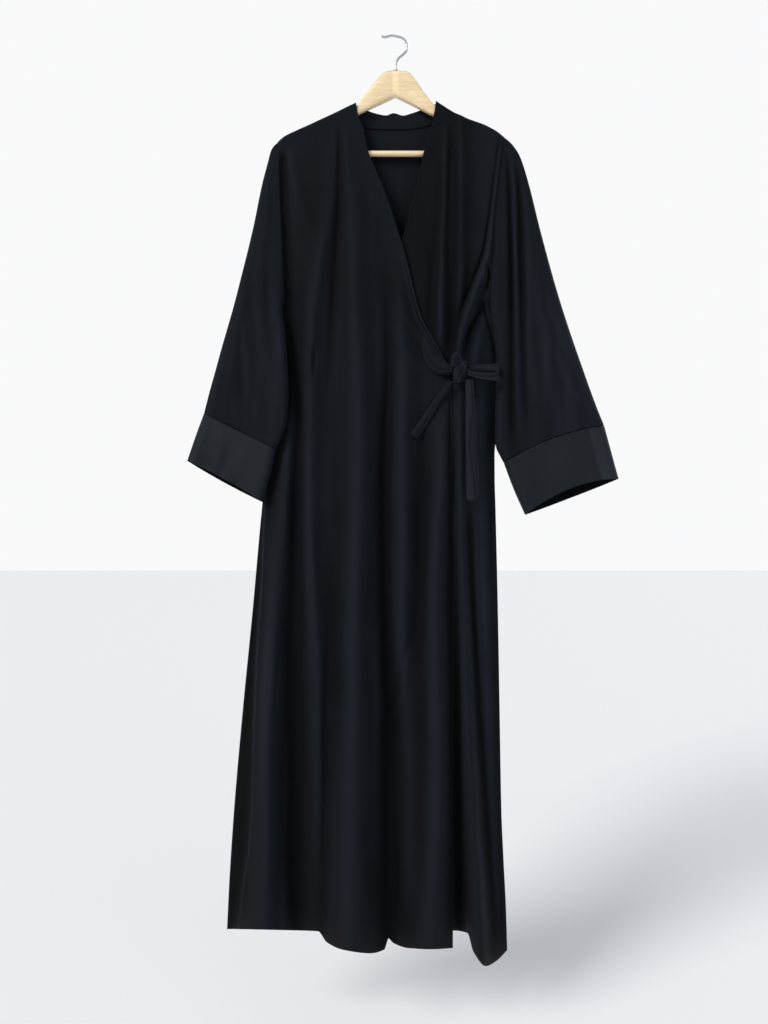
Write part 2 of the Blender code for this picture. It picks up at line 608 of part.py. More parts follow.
def ties():
    """The gathered corner, the bow's loop and its two tails."""
    path, width = along(TIE_BAND, 9)
    path[:, 1] = -(over_depth(path[:, 0], path[:, 2]) + 2.2 + 11.0 * np.linspace(0, 1, 9) ** 3)
    line = np.gradient(path, axis=0)
    across = np.stack([line[:, 2], 0 * line[:, 0], -line[:, 0]], axis=1)
    across /= np.linalg.norm(across, axis=1, keepdims=True)
    face = np.tile([0.0, -1.0, 0.0], (9, 1))
    strip("tie_band", path, across, face, width, cup=3.0)

    path, width = along(TAIL_SHORT, 10)
    path[:, 1] = -(over_depth(path[:, 0], path[:, 2]) + TAIL_CLEAR + 10.0 * np.linspace(1, 0, 10) ** 3)
    line = np.gradient(path, axis=0)
    across = np.stack([line[:, 2], 0 * line[:, 0], -line[:, 0]], axis=1)
    across /= np.linalg.norm(across, axis=1, keepdims=True)
    strip("tie_tail_short", path, across, np.tile([0.0, -1.0, 0.0], (10, 1)), width, cup=1.5)

    path, width = along(TAIL_LONG, 12)
    across = np.tile([1.0, 0.0, 0.0], (12, 1))
    strip("tie_tail_long", path, across, np.tile([0.0, -1.0, 0.0], (12, 1)), width, cup=2.5)

    path, width = along(LOOP, 25)
    line = np.gradient(path, axis=0)
    face = np.stack([line[:, 1], -line[:, 0], 0 * line[:, 0]], axis=1)
    face /= np.linalg.norm(face, axis=1, keepdims=True)
    strip("tie_loop", path, np.tile([0.0, 0.0, 1.0], (25, 1)), face, width)
    knot("tie_knot")


def main():
    for old in list(bpy.data.objects):
        bpy.data.objects.remove(old, do_unlink=True)
    panel("front_right", front_right_grid(26, 7, 20), CLOTH, -1, BLACK)
    panel("front_left", front_left_grid(24, 7, 20), CLOTH, -1, BLACK)
    back = back_grid(5, 17, 6, 11)
    panel("back", back, CLOTH, 1, BLACK)
    panel("neckband", neckband_grid(back, 5), TRIM, 1, BLACK)
    tube("sleeve_right", sleeve_grid(SLEEVE_RIGHT, ARMHOLE_RIGHT, INNER_RIGHT, -1, SLEEVE_RIGHT_FOLDS, 12, 19, 0.0),
         -CLOTH, False, BLACK)
    tube("sleeve_left", sleeve_grid(SLEEVE_LEFT, ARMHOLE_LEFT, INNER_LEFT, 1, SLEEVE_LEFT_FOLDS, 14, 19, 11.0),
         -CLOTH, False, BLACK)
    tube("cuff_right", cuff_grid(CUFF_RIGHT, 12, 4), TRIM, True, CUFF, 0.6)
    tube("cuff_left", cuff_grid(CUFF_LEFT, 14, 4), TRIM, True, CUFF, 0.6)
    ties()
    hanger_body("hanger_body")
    middle = (BAR_FROM + BAR_TO) / 2
    rod("hanger_bar", [(BAR_FROM, 0, BAR_Z), (middle, 0, BAR_Z), (BAR_TO, 0, BAR_Z)], BAR_RADIUS, 16,
        (0.55, 0.36, 0.2), 0.45, 0.0)
    hook("hanger_hook")


main()
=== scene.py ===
import math

import bpy
import numpy as np
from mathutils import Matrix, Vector


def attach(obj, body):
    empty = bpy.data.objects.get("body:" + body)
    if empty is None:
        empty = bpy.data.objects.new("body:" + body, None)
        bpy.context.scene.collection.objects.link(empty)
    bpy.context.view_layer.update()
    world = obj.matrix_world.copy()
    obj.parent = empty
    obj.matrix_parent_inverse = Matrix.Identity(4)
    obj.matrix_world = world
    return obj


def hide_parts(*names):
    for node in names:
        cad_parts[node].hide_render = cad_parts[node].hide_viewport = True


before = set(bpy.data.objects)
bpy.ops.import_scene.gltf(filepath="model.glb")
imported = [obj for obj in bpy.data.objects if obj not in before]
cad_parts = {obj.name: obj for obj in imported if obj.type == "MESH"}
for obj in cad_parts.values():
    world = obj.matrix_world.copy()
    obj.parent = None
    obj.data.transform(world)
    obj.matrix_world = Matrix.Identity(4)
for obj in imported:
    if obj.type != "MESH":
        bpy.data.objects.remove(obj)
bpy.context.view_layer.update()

MM = 0.001

# Camera and stage in millimetres
EYE_X = -21.5
EYE_Z = -816.0
EYE_AWAY = 1500.0
VIEW_TALL = 1761.0
FILM_TALL = 36.0
FLOOR_HALF = 12000.0
FLOOR_Z = -1720.0


def aim(made, target):
    """Turns a light or camera so that it looks at a point."""
    made.rotation_euler = (target - made.location).to_track_quat("-Z", "Y").to_euler()


def camera():
    """A level camera in front of the cloak, at the height of its middle."""
    data = bpy.data.cameras.new("camera")
    data.sensor_fit = "VERTICAL"
    data.sensor_height = FILM_TALL
    data.lens = FILM_TALL * EYE_AWAY / VIEW_TALL
    data.clip_end = 50.0
    made = bpy.data.objects.new("camera", data)
    made.location = (EYE_X * MM, -EYE_AWAY * MM, EYE_Z * MM)
    made.rotation_euler = (math.pi / 2, 0, 0)
    bpy.context.scene.collection.objects.link(made)
    bpy.context.scene.camera = made


def sun(name, place, strength, spread_degrees, colour):
    """A far soft light that shines from a direction."""
    data = bpy.data.lights.new(name, "SUN")
    data.energy = strength
    data.angle = math.radians(spread_degrees)
    data.color = colour
    made = bpy.data.objects.new(name, data)
    made.location = Vector(place)
    bpy.context.scene.collection.objects.link(made)
    aim(made, Vector((0, 0, 0)))


def stage():
    """A pale floor under the cloak, a pale surround and three soft lights."""
    side = np.linspace(-FLOOR_HALF, FLOOR_HALF, 3)
    x, y = np.meshgrid(side, side)
    floor = grid_object("floor", np.stack([x, y, FLOOR_Z + 0 * x], axis=2), None)
    finish(floor, plain_material("floor", (0.8, 0.8, 0.81), 0.9))
    world = bpy.data.worlds.new("surround")
    world.use_nodes = True
    tree = world.node_tree
    seen = tree.nodes["Background"]
    seen.inputs["Color"].default_value = (0.95, 0.95, 0.96, 1)
    seen.inputs["Strength"].default_value = 1.0
    light = node(tree, "ShaderNodeBackground", {"Color": (0.86, 0.92, 1.0, 1), "Strength": 0.42})
    ray = node(tree, "ShaderNodeLightPath")
    both = node(tree, "ShaderNodeMixShader",
                {0: ray.outputs["Is Camera Ray"], 1: light.outputs[0], 2: seen.outputs[0]})
    feed(tree, tree.nodes["World Output"].inputs["Surface"], both.outputs[0])
    bpy.context.scene.world = world
    bpy.context.scene.view_settings.view_transform = "Standard"
    sun("key", (-1.0, -0.95, 0.9), 2.5, 24, (1.0, 0.99, 0.97))
    sun("fill", (1.0, -1.3, 0.3), 0.35, 40, (0.9, 0.95, 1.0))
    sun("rear", (0.7, 1.0, 0.8), 1.3, 30, (1.0, 1.0, 1.0))


# Sizes in millimetres
SHELL = 0.9
TRIM_SHELL = 1.3
RIBBON = 0.9
SEAM = 0.3
LEAN_FROM = -150.0
LEAN_FULL = -360.0
OVER_LIFT = 4.5
ROUND = 9.0
TUBE_ROUND = 14.0
ARMHOLE_DEPTH = 13.0
SHOULDER_SOFT = 14.0
SIDE_SOFT = 48.0
UNDER_SOFT = 55.0
HEM_WORN = 55.0
TAIL_CLEAR = 2.6
BAR_Z = -200.0
BAR_FROM = -176.6
HOOK_WIRE = 3.8

# Shares of a panel's height over which its top and hem lines fade into straight rows
TOP_FADE = 0.16
BACK_TOP_FADE = 0.2
HEM_FADE = 0.3

# Shares: where the underarm lies down a panel, the hook's turn, the light on the seam that has swung forward
UNDERARM_RIGHT = (452 - 181) / (1533 - 181)
UNDERARM_LEFT = (462 - 172) / (1570 - 172)
HOOK_SWIVEL = 0.45
SIDE_GLINT = 0.55
SEAM_RISE = 1.8

# Ends of the neckband that stand free
BAND_FROM = -80
BAND_TO = 79

# Points round a sleeve or cuff on each side, and rows down each
AROUND = 62
SLEEVE_ROWS = 150
CUFF_ROWS = 40

# Cloth colours as (red, green, blue): painted shade in the valleys, painted highlight on the ridges, and a near-black
# painted shade inside a cuff
CLOTH_SHADED = (0.0007, 0.0013, 0.0024)
CLOTH_LIT = (0.0064, 0.0089, 0.0132)
CUFF_SHADED = (0.0050, 0.0070, 0.0098)
CUFF_LIT = (0.0100, 0.0130, 0.0172)
CUFF_INSIDE_SHADE = (0.002, 0.0024, 0.003)


def read(text):
    """Reads a table: numbers parted by spaces, rows parted by commas."""
    return [tuple(float(value) for value in row.split()) for row in text.split(",")]


def read_all(**texts):
    """Reads several tables by name."""
    return {name: read(text) for name, text in texts.items()}


# Seam and edge lines as (z, x)
ARMHOLE_RIGHT = read("""-181 -205, -230 -203, -305 -200, -412 -195, -452 -192""")
ARMHOLE_LEFT = read("""-172 186, -192 181, -252 175, -321 168, -400 163, -462 160""")
SIDE_RIGHT = read("""-452 -192, -466 -197.5, -500 -202, -560 -205, -653 -213, -709 -219, -800 -230, -985 -247,
    -1157 -264, -1329 -279, -1450 -287, -1533 -291""")
SIDE_LEFT = read("""-462 160, -478 166, -500 172, -530 176, -600 177, -650 176, -690 171, -715 168.3, -760 168.5,
    -813 170, -985 174, -1157 177, -1329 180, -1420 184, -1500 188, -1570 190""")
OVER_EDGE = read("""-113 -70, -140 -65, -160 -57, -195 -50, -235 -34, -262 -22, -321 -1, -376 16, -434 30, -482 44,
    -530 71, -560 86, -600 95, -700 97, -1100 97, -1566 97""")
UNDER_EDGE = read("""-110 68, -135 64, -194 48, -271 31, -348 9, -450 -25, -540 -58, -640 -76, -900 -84,
    -1550 -88""")

# Shoulder, neck and hem lines as (x, z)
SHOULDER_RIGHT = read("""-205 -181, -200 -176, -187 -168, -168 -159, -149 -150.5, -133 -143, -99 -127, -84 -119.5,
    -70 -113""")
SHOULDER_LEFT = read("""68 -110, 80 -118, 101 -131, 121 -140, 150 -150.5, 164 -157.5, 178 -166, 186 -172""")
BACK_NECK = read("""-205 -181, -187 -168, -168 -159, -149 -150.5, -133 -143, -104 -129.5, -92 -126, -74 -138,
    -56 -151, -16 -153, 15 -153, 48 -149, 66 -139, 82 -123, 101 -132.5, 121 -141, 150 -151, 164 -158, 186 -172""")
BAND_TOP = read("""-91 -123.3, -84 -119.8, -70 -113.5, -60 -117, -44 -124, -31 -127.5, -18 -130, -5 -126, 12 -130,
    24 -127, 34 -124, 48 -118, 60 -113, 68 -110.5, 75 -115.2, 84 -120.5""")
OVER_HEM = read("""-291 -1533, -200 -1535, -135 -1537, -120 -1556, -92 -1569, -45 -1575, -20 -1568, -14 -1549,
    -6 -1557, 20 -1566, 60 -1568, 97 -1566""")
UNDER_HEM = read("""-88 -1540, 0 -1541, 100 -1536, 122 -1540, 132 -1572, 154 -1597, 172 -1588, 190 -1570""")
BACK_HEM = read("""-291 -1533, -150 -1530, 0 -1528, 110 -1530, 150 -1540, 190 -1570""")

# How far the cloth stands from the seam plane as (z, front, back)
STAND = read("""-1600 33 30, -1200 29 27, -900 25 24, -700 21 21, -570 18 18, -470 17 15, -330 14 13, -200 11 11,
    -110 9.6 9.6""")

# Folds as (z, x, half_width, rise)
OVER_FOLDS = read_all(
    shoulder="""-190 -184 14 0, -225 -181 14 4, -290 -167 14 4, -350 -160 14 0""",
    side="""-860 -216 14 0, -1060 -218 15 9, -1300 -222 17 15, -1540 -226 20 20""",
    second="""-250 -110 12 0, -320 -119 12 4, -400 -134 12 7, -500 -145 12 8, -670 -151 12 11, -840 -149 13 12,
        -985 -142 13 13, -1100 -136 13 13, -1213 -136 13 11, -1400 -137 15 6, -1560 -140 18 2""",
    main="""-150 -90 14 0, -205 -84 16 6, -305 -76 19 11, -467 -70 21 15, -573 -65 22 18, -761 -64 23 22,
        -985 -70 23 25, -1127 -71 24 28, -1299 -76 28 31, -1560 -78 36 37""",
    fourth="""-400 2 12 0, -467 8 13 4, -573 14 14 8, -682 11 14 12, -869 12 14 14, -1041 12 14 11, -1200 12 14 3,
        -1300 12 14 0""",
    fifth="""-640 78 13 0, -740 78 14 9, -842 72 15 16, -985 68 16 20, -1186 71 18 23, -1358 70 21 26,
        -1560 60 30 32""",
    edge="""-620 98 5 0, -760 98 5 3, -1000 98 5 3, -1566 97 8 2""",
)
UNDER_FOLDS = read_all(
    strip="""-140 84 7 0, -194 83 7 5, -283 82 7 7, -365 79 7 8, -500 77 7 8, -545 76 7 0""",
    drag="""-190 180 8 0, -235 177 8 6, -310 169 9 9, -366 164 9 11, -403 153 8 12, -443 137 8.5 13, -470 127 8 12,
        -500 116 7 11, -540 108 7 7, -575 105 7 0""",
    ridge="""-600 110 8 4, -700 110 8 10, -842 111 8 13, -1014 117 9 16, -1186 123 12 20, -1358 131 15 23,
        -1590 147 21 32""",
    edge="""-560 146 9 0, -640 148 9 7, -820 152 9 11, -1100 161 9 13, -1400 171 9 12, -1560 177 9 5""",
    pit="""-700 103 6 0, -1000 105 7 -5, -1150 106 7 -10, -1300 107 8 -14, -1450 109 10 -20, -1590 112 12 -27""",
)
BACK_FOLDS = read_all(
    one="""-500 -120 24 0, -900 -150 26 5, -1560 -190 30 9""",
    two="""-400 -40 24 0, -900 -60 26 4, -1560 -80 30 8""",
    three="""-450 50 24 0, -900 40 26 5, -1560 30 30 9""",
    four="""-600 120 20 0, -1000 120 22 4, -1560 130 24 7""",
)

# Narrow dark valleys between the folds as (z, x, half_width, rise)
OVER_VALLEYS = read_all(
    by_armhole="""-185 -192 8 0, -215 -192 9 -6, -330 -184 10 -8, -440 -173 12 -10, -560 -167 12 -11,
        -627 -167 13 -14, -842 -172 18 -18, -955 -174 20 -20, -1127 -176 22 -22, -1385 -175 22 -24,
        -1540 -171 20 -20""",
    below_shoulder="""-150 -96 5 0, -190 -96 5.5 -5, -267 -97 7 -8, -359 -102 8 -7, -467 -108 8 -6, -540 -112 8 -4,
        -620 -114 8 0""",
    small="""-520 -140 5 0, -558 -142 4.5 -4, -600 -143 5 0""",
    left_of_main="""-1000 -116 5 0, -1060 -118 5 -1.5, -1157 -123 5 -2, -1299 -123 5 -2.5, -1501 -126 7 -2,
        -1560 -127 9 -2""",
    right_of_main="""-300 -18 12 0, -412 -15 14 -6, -520 -12 12 -8, -682 -17 10 -9, -788 -21 10 -11,
        -900 -19 10 -14, -1014 -17 11 -17, -1127 -14 14 -20, -1300 -11 18 -23, -1415 -10 20 -24,
        -1530 -10 19 -20""",
    middle="""-600 45 10 0, -700 46 11 -4, -900 44 11 -4, -1000 40 11 -3, -1060 32 10 0""",
    under_thin="""-1030 27 6 0, -1056 15 6 -3, -1162 -5 8 -4, -1260 -9 8 0""",
    at_edge="""-590 94 5 -3, -700 95 6 -9, -1000 97 7 -12, -1300 101 10 -15, -1560 103 12 -16""",
)
UNDER_VALLEYS = read_all(
    left_of_strip="""-180 68 8 0, -230 66 8 -3, -330 62 9 -4, -450 60 9 -4, -520 58 8 0""",
    right_of_strip="""-160 97 6 0, -230 99 8 -4, -380 98 10 -6, -470 96 10 -7, -530 94 8 -4, -560 94 7 0""",
    left_of_drag="""-170 152 8 0, -240 150 9 -5, -350 139 9 -7, -430 122 8 -6, -500 104 7 -4, -560 102 7 0""",
    side="""-790 126 6 0, -860 127 7 -5, -1014 133 7 -8, -1150 140 8 -9, -1243 146 8 -10, -1382 155 8 -10,
        -1500 163 8 -8, -1570 166 8 -6""",
)

# Painted shade in bands where a fold should look darker, or painted highlight where it should look lighter (below 0),
# as (z, x, half_width, share)
PAINTED_SHADE_SCALE = 1.6
OVER_PAINTED_SHADE = read_all(
    beside_second="""-900 -160 16 0, -1100 -156 20 0.2, -1300 -150 26 0.32, -1560 -142 32 0.4""",
    valley="""-1040 -2 10 0, -1150 4 13 0.35, -1300 7 14 0.42, -1420 6 16 0.38, -1560 12 26 0.4""",
    low="""-1340 52 30 0, -1560 48 34 0.2""",
    low_main="""-1400 -95 30 0, -1560 -100 34 0.12""",
    chest="""-240 -165 12 0, -340 -163 12 0.2, -500 -160 12 0.24, -640 -155 12 0.12, -720 -150 12 0""",
    under_shoulder="""-130 -92 10 0, -250 -91 10 0.22, -450 -88 10 0.22, -560 -88 10 0""",
    shoulder="""-120 -130 34 0, -190 -132 34 0.16, -300 -134 30 0.12, -400 -134 24 0""",
    v_side="""-330 -6 12 0, -400 4 16 0.22, -480 22 18 0.22, -560 44 18 0""",
    side="""-660 -200 10 0, -760 -203 12 0.25, -950 -205 12 0.2, -1050 -207 12 0""",
    main_flank="""-180 -56 12 0, -260 -56 12 -0.2, -900 -54 12 -0.25, -1100 -54 12 -0.2, -1200 -54 12 0""",
    thin="""-780 -16 8 0, -900 -16 8 -0.3, -1050 -14 8 -0.3, -1120 -14 8 0""",
    middle="""-820 40 14 0, -900 40 14 -0.3, -1020 38 14 -0.3, -1090 34 12 0""",
    left_of_main="""-860 -108 12 0, -950 -108 12 -0.25, -1100 -106 12 -0.25, -1170 -106 12 0""",
)
UNDER_PAINTED_SHADE = read_all(
    side="""-560 148 12 0, -620 149 12 -0.4, -800 150 13 -0.45, -1000 150 13 -0.45, -1250 158 11 -0.5,
        -1450 168 9 -0.5, -1560 173 8 -0.1""",
    triangle="""-430 148 8 0, -480 138 9 -0.45, -540 128 11 -0.5, -580 120 11 0""",
    by_armhole="""-300 168 7 0, -380 164 7 -0.2, -450 158 8 -0.35, -560 158 8 -0.35, -600 158 8 0""",
    low="""-1160 114 12 0, -1300 118 13 0.2, -1450 124 14 0.3, -1590 135 16 0.3""",
)
SLEEVE_RIGHT_PAINTED_SHADE = read_all(
    inner="""-250 -214 14 0, -350 -222 16 -0.25, -450 -212 17 -0.4, -530 -208 16 -0.35, -680 -216 24 -0.1""",
)
SLEEVE_LEFT_PAINTED_SHADE = read_all(
    outer="""-350 238 26 0, -450 264 34 -0.3, -560 286 42 -0.45, -690 300 48 -0.45""",
    inner="""-350 180 12 0, -420 186 13 0.22, -600 196 15 0.25, -720 202 16 0.15""",
)

# The seam that has swung round to the front, and the back's cloth beside it
SIDE_LINES = read_all(
    seam="""-740 -222 1.5 0, -795 -226 1.5 1.5, -935 -232 1.5 1.6, -1062 -240 1.5 1.6, -1207 -246 1.5 1.7,
        -1325 -248.5 1.5 1.8, -1396 -254 1.5 1.8, -1454 -263 1.5 1.8, -1532 -272 1.5 1.7""",
    armhole="""-186 -196 5 0, -215 -194 6.5 -3.5, -330 -190 8 -6, -440 -183 8 -7, -520 -181 10 -8, -600 -181 11 -6,
        -700 -186 12 0""",
    beside="""-800 -234 5 0, -935 -240 6 -1.6, -1062 -248 6 -2.2, -1207 -254 7 -3.5, -1325 -258 8 -5,
        -1396 -263 8 -5, -1454 -271 7 -4, -1532 -280 7 -3.5""",
)

# The long pull from the armhole down to the knot, with its sharp inner line
PULLS = read_all(
    line="""-176 181 2 0, -190 175 2 -2, -312 159 2.6 -4, -371 149 2.8 -5, -420 131 3 -5, -455 117 3 -5,
        -515 103 3 -4, -550 99 3 0""",
    face="""-176 185 3 0, -200 180 4 2.5, -312 166 5 5, -371 158 6 7, -420 142 7 7, -455 128 7 6, -515 110 5 4,
        -560 104 4 0""",
    crease_left="""-452 150 2.4 0, -463 147 2.4 -7, -486 134 2.6 -8, -515 119 3 -7, -550 114 4 0""",
    crease_right="""-452 148 2.4 0, -465 150 2.4 -5, -500 160 2.6 -6, -538 169.5 3 -5, -585 171 4 0""",
    pinch="""-385 153 3 0, -398 157 2.4 -6, -412 158.5 2.4 -7, -425 156 2.4 -5, -437 152 3 0""",
    lip="""-378 148 3 0, -396 151 2.4 3, -412 152 2.4 3.5, -430 147 3 0""",
    triangle="""-470 155 5 0, -500 148 7 3, -540 140 9 4, -600 134 9 0""",
)

# Small creases as (z, x, half_width, rise)
OVER_CREASES = read_all(
    slit="""-530 -142 4 0, -550 -142 3.5 -2.2, -575 -143 4 0""",
    roll="""-360 6 3 0, -380 12 3 2, -434 23 3 2.6, -482 36 3.2 2.8, -515 52 4 0""",
    pull_one="""-430 2 6 0, -480 20 6 2.5, -530 50 6 3.5, -556 70 5 0""",
    pull_two="""-470 -20 8 0, -520 2 8 2.2, -560 32 7 3, -585 62 6 0""",
    left_soft="""-500 -180 9 0, -620 -184 9 3, -760 -190 9 4, -900 -192 9 0""",
    low_a="""-1100 -108 7 0, -1250 -106 7 4, -1560 -112 9 7""",
    low_b="""-1150 -184 9 0, -1300 -186 9 5, -1540 -190 10 7""",
    low_d="""-1000 -28 7 0, -1150 -30 7 3, -1350 -26 8 2, -1560 -26 9 0""",
)
UNDER_CREASES = read_all(
    shoulder_line="""-150 92 4 0, -175 91.5 3.5 -1.3, -255 91 4 -1.2, -300 91 5 0""",
    chest="""-150 112 12 0, -200 112 12 2, -300 110 11 3.5, -420 104 10 2, -480 100 9 0""",
    thin="""-760 138 5 0, -860 138 5 3, -1000 140 5 3, -1150 148 5 0""",
)
BACK_CREASES = read_all(
    shoulder_right="""-200 -150 12 0, -300 -130 14 3, -460 -120 14 2, -600 -118 14 0""",
    shoulder_left="""-190 140 12 0, -300 118 14 3, -460 100 14 2, -600 96 14 0""",
    middle="""-220 -6 16 0, -420 -4 16 3, -800 -8 18 4, -1200 -12 20 6, -1560 -16 24 8""",
    low_a="""-900 -230 14 0, -1200 -240 15 4, -1540 -250 16 6""",
    low_b="""-700 80 12 0, -1000 82 14 3, -1560 84 16 5""",
    low_c="""-800 -110 12 0, -1200 -124 14 4, -1560 -132 16 5""",
    valley_a="""-640 -176 9 0, -900 -186 10 -6, -1250 -206 11 -10, -1540 -220 12 -12""",
    valley_b="""-520 -84 9 0, -800 -92 10 -5, -1200 -100 11 -10, -1560 -108 13 -13""",
    valley_c="""-560 18 9 0, -860 14 10 -6, -1200 8 11 -9, -1560 2 13 -12""",
    valley_d="""-600 66 8 0, -900 62 9 -5, -1300 60 10 -8, -1560 58 11 -9""",
    valley_e="""-700 142 8 0, -1000 144 9 -5, -1400 152 10 -8, -1570 160 10 -7""",
    blade_right="""-210 -176 9 0, -300 -168 10 -4, -470 -162 10 -5, -640 -160 10 0""",
    blade_left="""-200 160 8 0, -300 146 9 -4, -470 132 10 -5, -620 130 10 0""",
)

# Sleeves as (v, top_x, top_z, under_z, half_depth, forward)
SLEEVE_RIGHT = read("""0 -207 -182.8 -182.2 2.6 0, 0.008 -211 -187 -184.5 3.4 0, 0.02 -216 -195 -189 4 0,
    0.06 -221 -214 -206 6 0, 0.15 -231 -252 -240 10 0, 0.3 -246 -325 -315 13 0, 0.48 -271 -427 -420 14 0,
    0.54 -279 -458 -452.5 14 -0.8, 0.56 -282 -469 -463 14 -3.5, 0.6 -288 -490 -490 14 -11,
    0.7 -301 -535 -550 15 -19, 0.8 -312 -575 -610 16 -23, 0.9 -322 -611 -658 15 -24, 1 -331 -646 -708 15 -20""")
SLEEVE_LEFT = read("""0 188.5 -174.2 -173.2 2.6 0, 0.01 194 -179 -176 3.4 0, 0.022 201 -186.5 -181 4 0,
    0.06 212 -204 -197 6 0, 0.15 227 -250 -238 10 0, 0.3 246 -326 -312 13 0, 0.48 270 -415 -415 14 0,
    0.55 284 -462 -463.2 15 -1.5, 0.575 289 -477.5 -477 15 -5, 0.62 298 -505 -503 16 -8, 0.72 317 -560 -560 17 -10,
    0.82 334 -608 -625 18 -10.5, 0.91 346 -640 -690 17 -10, 1 357 -667 -731 16 -10""")
INNER_RIGHT = read("""-452.5 -192.4, -470 -195.8, -490 -193, -550 -188, -610 -185, -658 -188, -685 -196,
    -708 -207""")
INNER_LEFT = read("""-463.2 160.8, -480 163.5, -500 166.5, -530 170, -558 172, -630 170, -690 169, -706 171.5,
    -718 177, -731 184""")
# Cuffs as (v, top_x, top_z, under_x, under_z, half_depth, forward, front_bow, back_bow)
CUFF_RIGHT = read("""0 -331.3 -647 -207.2 -709 15.6 -20 0 0, 0.5 -346 -687 -217 -752 15 -17 0 0,
    1 -360 -728 -230 -799 14 -14 3 -2.5""")
CUFF_LEFT = read("""0 357.4 -668 184.4 -732 16.6 -10 11 11, 0.5 369.5 -713 201 -776 16 -9 13 8,
    1 382 -759 221 -821 16 -8 15 -1""")
SLEEVE_RIGHT_FOLDS = read_all(
    ridge="""-600 -212 18 0, -530 -230 16 4, -440 -238 13 6, -300 -226 12 3, -230 -214 12 0""",
    fine="""-640 -262 7 0, -600 -258 7 3, -520 -262 6 3, -440 -262 6 0""",
    outer="""-640 -300 8 0, -600 -292 8 2.5, -500 -276 7 3, -400 -256 7 0""",
    inner="""-680 -214 7 0, -620 -206 7 3, -540 -204 7 2, -470 -206 6 0""",
)
SLEEVE_LEFT_FOLDS = read_all(
    inner="""-706 199 8 0, -660 199 7 -9, -540 199 6 -12, -400 197 6 -13, -250 193 5.5 -10, -196 190 5 0""",
    outer="""-680 222 9 0, -600 219 7.5 -6, -400 215 7.5 -12, -260 211 5.5 -9, -205 205 5 0""",
    between="""-660 209 5 0, -600 209 4.5 1, -380 206 4.5 0.5, -250 202 4 0""",
    inner_edge="""-680 180 5 0, -620 181 5 3, -520 181 5 3.5, -470 178 5 0""",
    slant_one="""-560 300 8 0, -520 286 8 2.5, -470 268 8 2, -430 256 8 0""",
    slant_two="""-640 318 9 0, -600 300 9 3, -540 276 9 2, -500 262 9 0""",
    far="""-650 262 12 0, -560 258 12 3, -440 244 11 3, -340 232 10 0""",
)


def smooth(rows, column, at):
    """Runs a smooth curve through one column of a table whose first column is the station."""
    table = np.array(sorted(rows), float)
    s = table[:, 0]
    v = table[:, column]
    step = np.diff(v) / np.diff(s)
    slope = np.empty_like(v)
    slope[0] = step[0]
    slope[-1] = step[-1]
    same = step[:-1] * step[1:] > 0
    total = np.where(same, step[:-1] + step[1:], 1.0)
    slope[1:-1] = np.where(same, 2 * step[:-1] * step[1:] / total, 0.0)
    at = np.clip(np.asarray(at, float), s[0], s[-1])
    i = np.clip(np.searchsorted(s, at, side="right") - 1, 0, len(s) - 2)
    h = s[i + 1] - s[i]
    t = (at - s[i]) / h
    start = v[i] * (1 + 2 * t) * (1 - t) ** 2 + slope[i] * h * t * (1 - t) ** 2
    end = v[i + 1] * t * t * (3 - 2 * t) - slope[i + 1] * h * t * t * (1 - t)
    return start + end


def ease(t):
    """Goes from 0 to 1 with level ends: three t squared less two t cubed."""
    t = np.clip(t, 0.0, 1.0)
    return t * t * (3 - 2 * t)


def arch(t):
    """A quarter circle from 0 to 1."""
    return np.sqrt(np.clip(1 - (1 - np.clip(t, 0.0, 1.0)) ** 2, 0.0, 1.0))


def bell(t, at, wide):
    """A bell: 1 at its middle, near nothing two widths away."""
    return np.exp(-((t - at) / wide) ** 2)


def span(z, start, start_soft, end, end_soft):
    """1 between two distances below the hook, with soft ends."""
    return ease((-z - start) / start_soft) * ease((z + end) / end_soft)


def unit(arrows):
    """Arrows brought to length 1."""
    return arrows / np.linalg.norm(arrows, axis=-1, keepdims=True)


def stations(*parts):
    """Several runs of numbers as one, in order and each once."""
    return np.unique(np.concatenate(parts))


def readings(rows, at):
    """Every column of a table at the same stations."""
    return [smooth(rows, column, at) for column in range(1, len(rows[0]))]


def fold_rise(folds, x, z):
    """Adds up the folds: each is a bell across its line, and its line, width and rise run down its table."""
    total = np.zeros_like(x)
    for rows in folds.values():
        line, half_width, rise = readings(rows, z)
        total = total + rise * bell(x, line, half_width)
    return total


# Soft unevenness as (waves per metre across, waves per metre down, phase, height)
UNEVEN = read("""9 1.3 0.4 0.55, 14 -2.1 2.1 0.45, 23 3.4 4 0.32, 37 -1.7 1.3 0.22, 4 5.2 5.5 0.5, 17 6.3 3.1 0.18,
    52 2.6 0.9 0.12""")


def uneven(x, z, shift):
    """A sum of long slanted sine waves, so that no panel is perfectly smooth."""
    total = np.zeros_like(x)
    for across, down, phase, height in UNEVEN:
        total = total + height * np.sin(2 * np.pi * (across * x + down * z) / 1000 + phase + shift)
    return total


def toward_eye(points):
    """Moves points read off the photo along their sight lines to their own depth."""
    out = points.copy()
    weight = ease((LEAN_FROM - points[..., 2]) / (LEAN_FROM - LEAN_FULL))
    scale = 1 + weight * points[..., 1] / EYE_AWAY
    out[..., 0] = EYE_X + (points[..., 0] - EYE_X) * scale
    out[..., 2] = EYE_Z + (points[..., 2] - EYE_Z) * scale
    return out


def arc_lengths(grid):
    """A surface's own coordinates in metres: distance along each row and down each column."""
    across = np.linalg.norm(np.diff(grid, axis=1), axis=2)
    down = np.linalg.norm(np.diff(grid, axis=0), axis=2)
    u = np.concatenate([np.zeros((grid.shape[0], 1)), np.cumsum(across, axis=1)], axis=1)
    v = np.concatenate([np.zeros((1, grid.shape[1])), np.cumsum(down, axis=0)], axis=0)
    return u - u[:, -1:] / 2, v


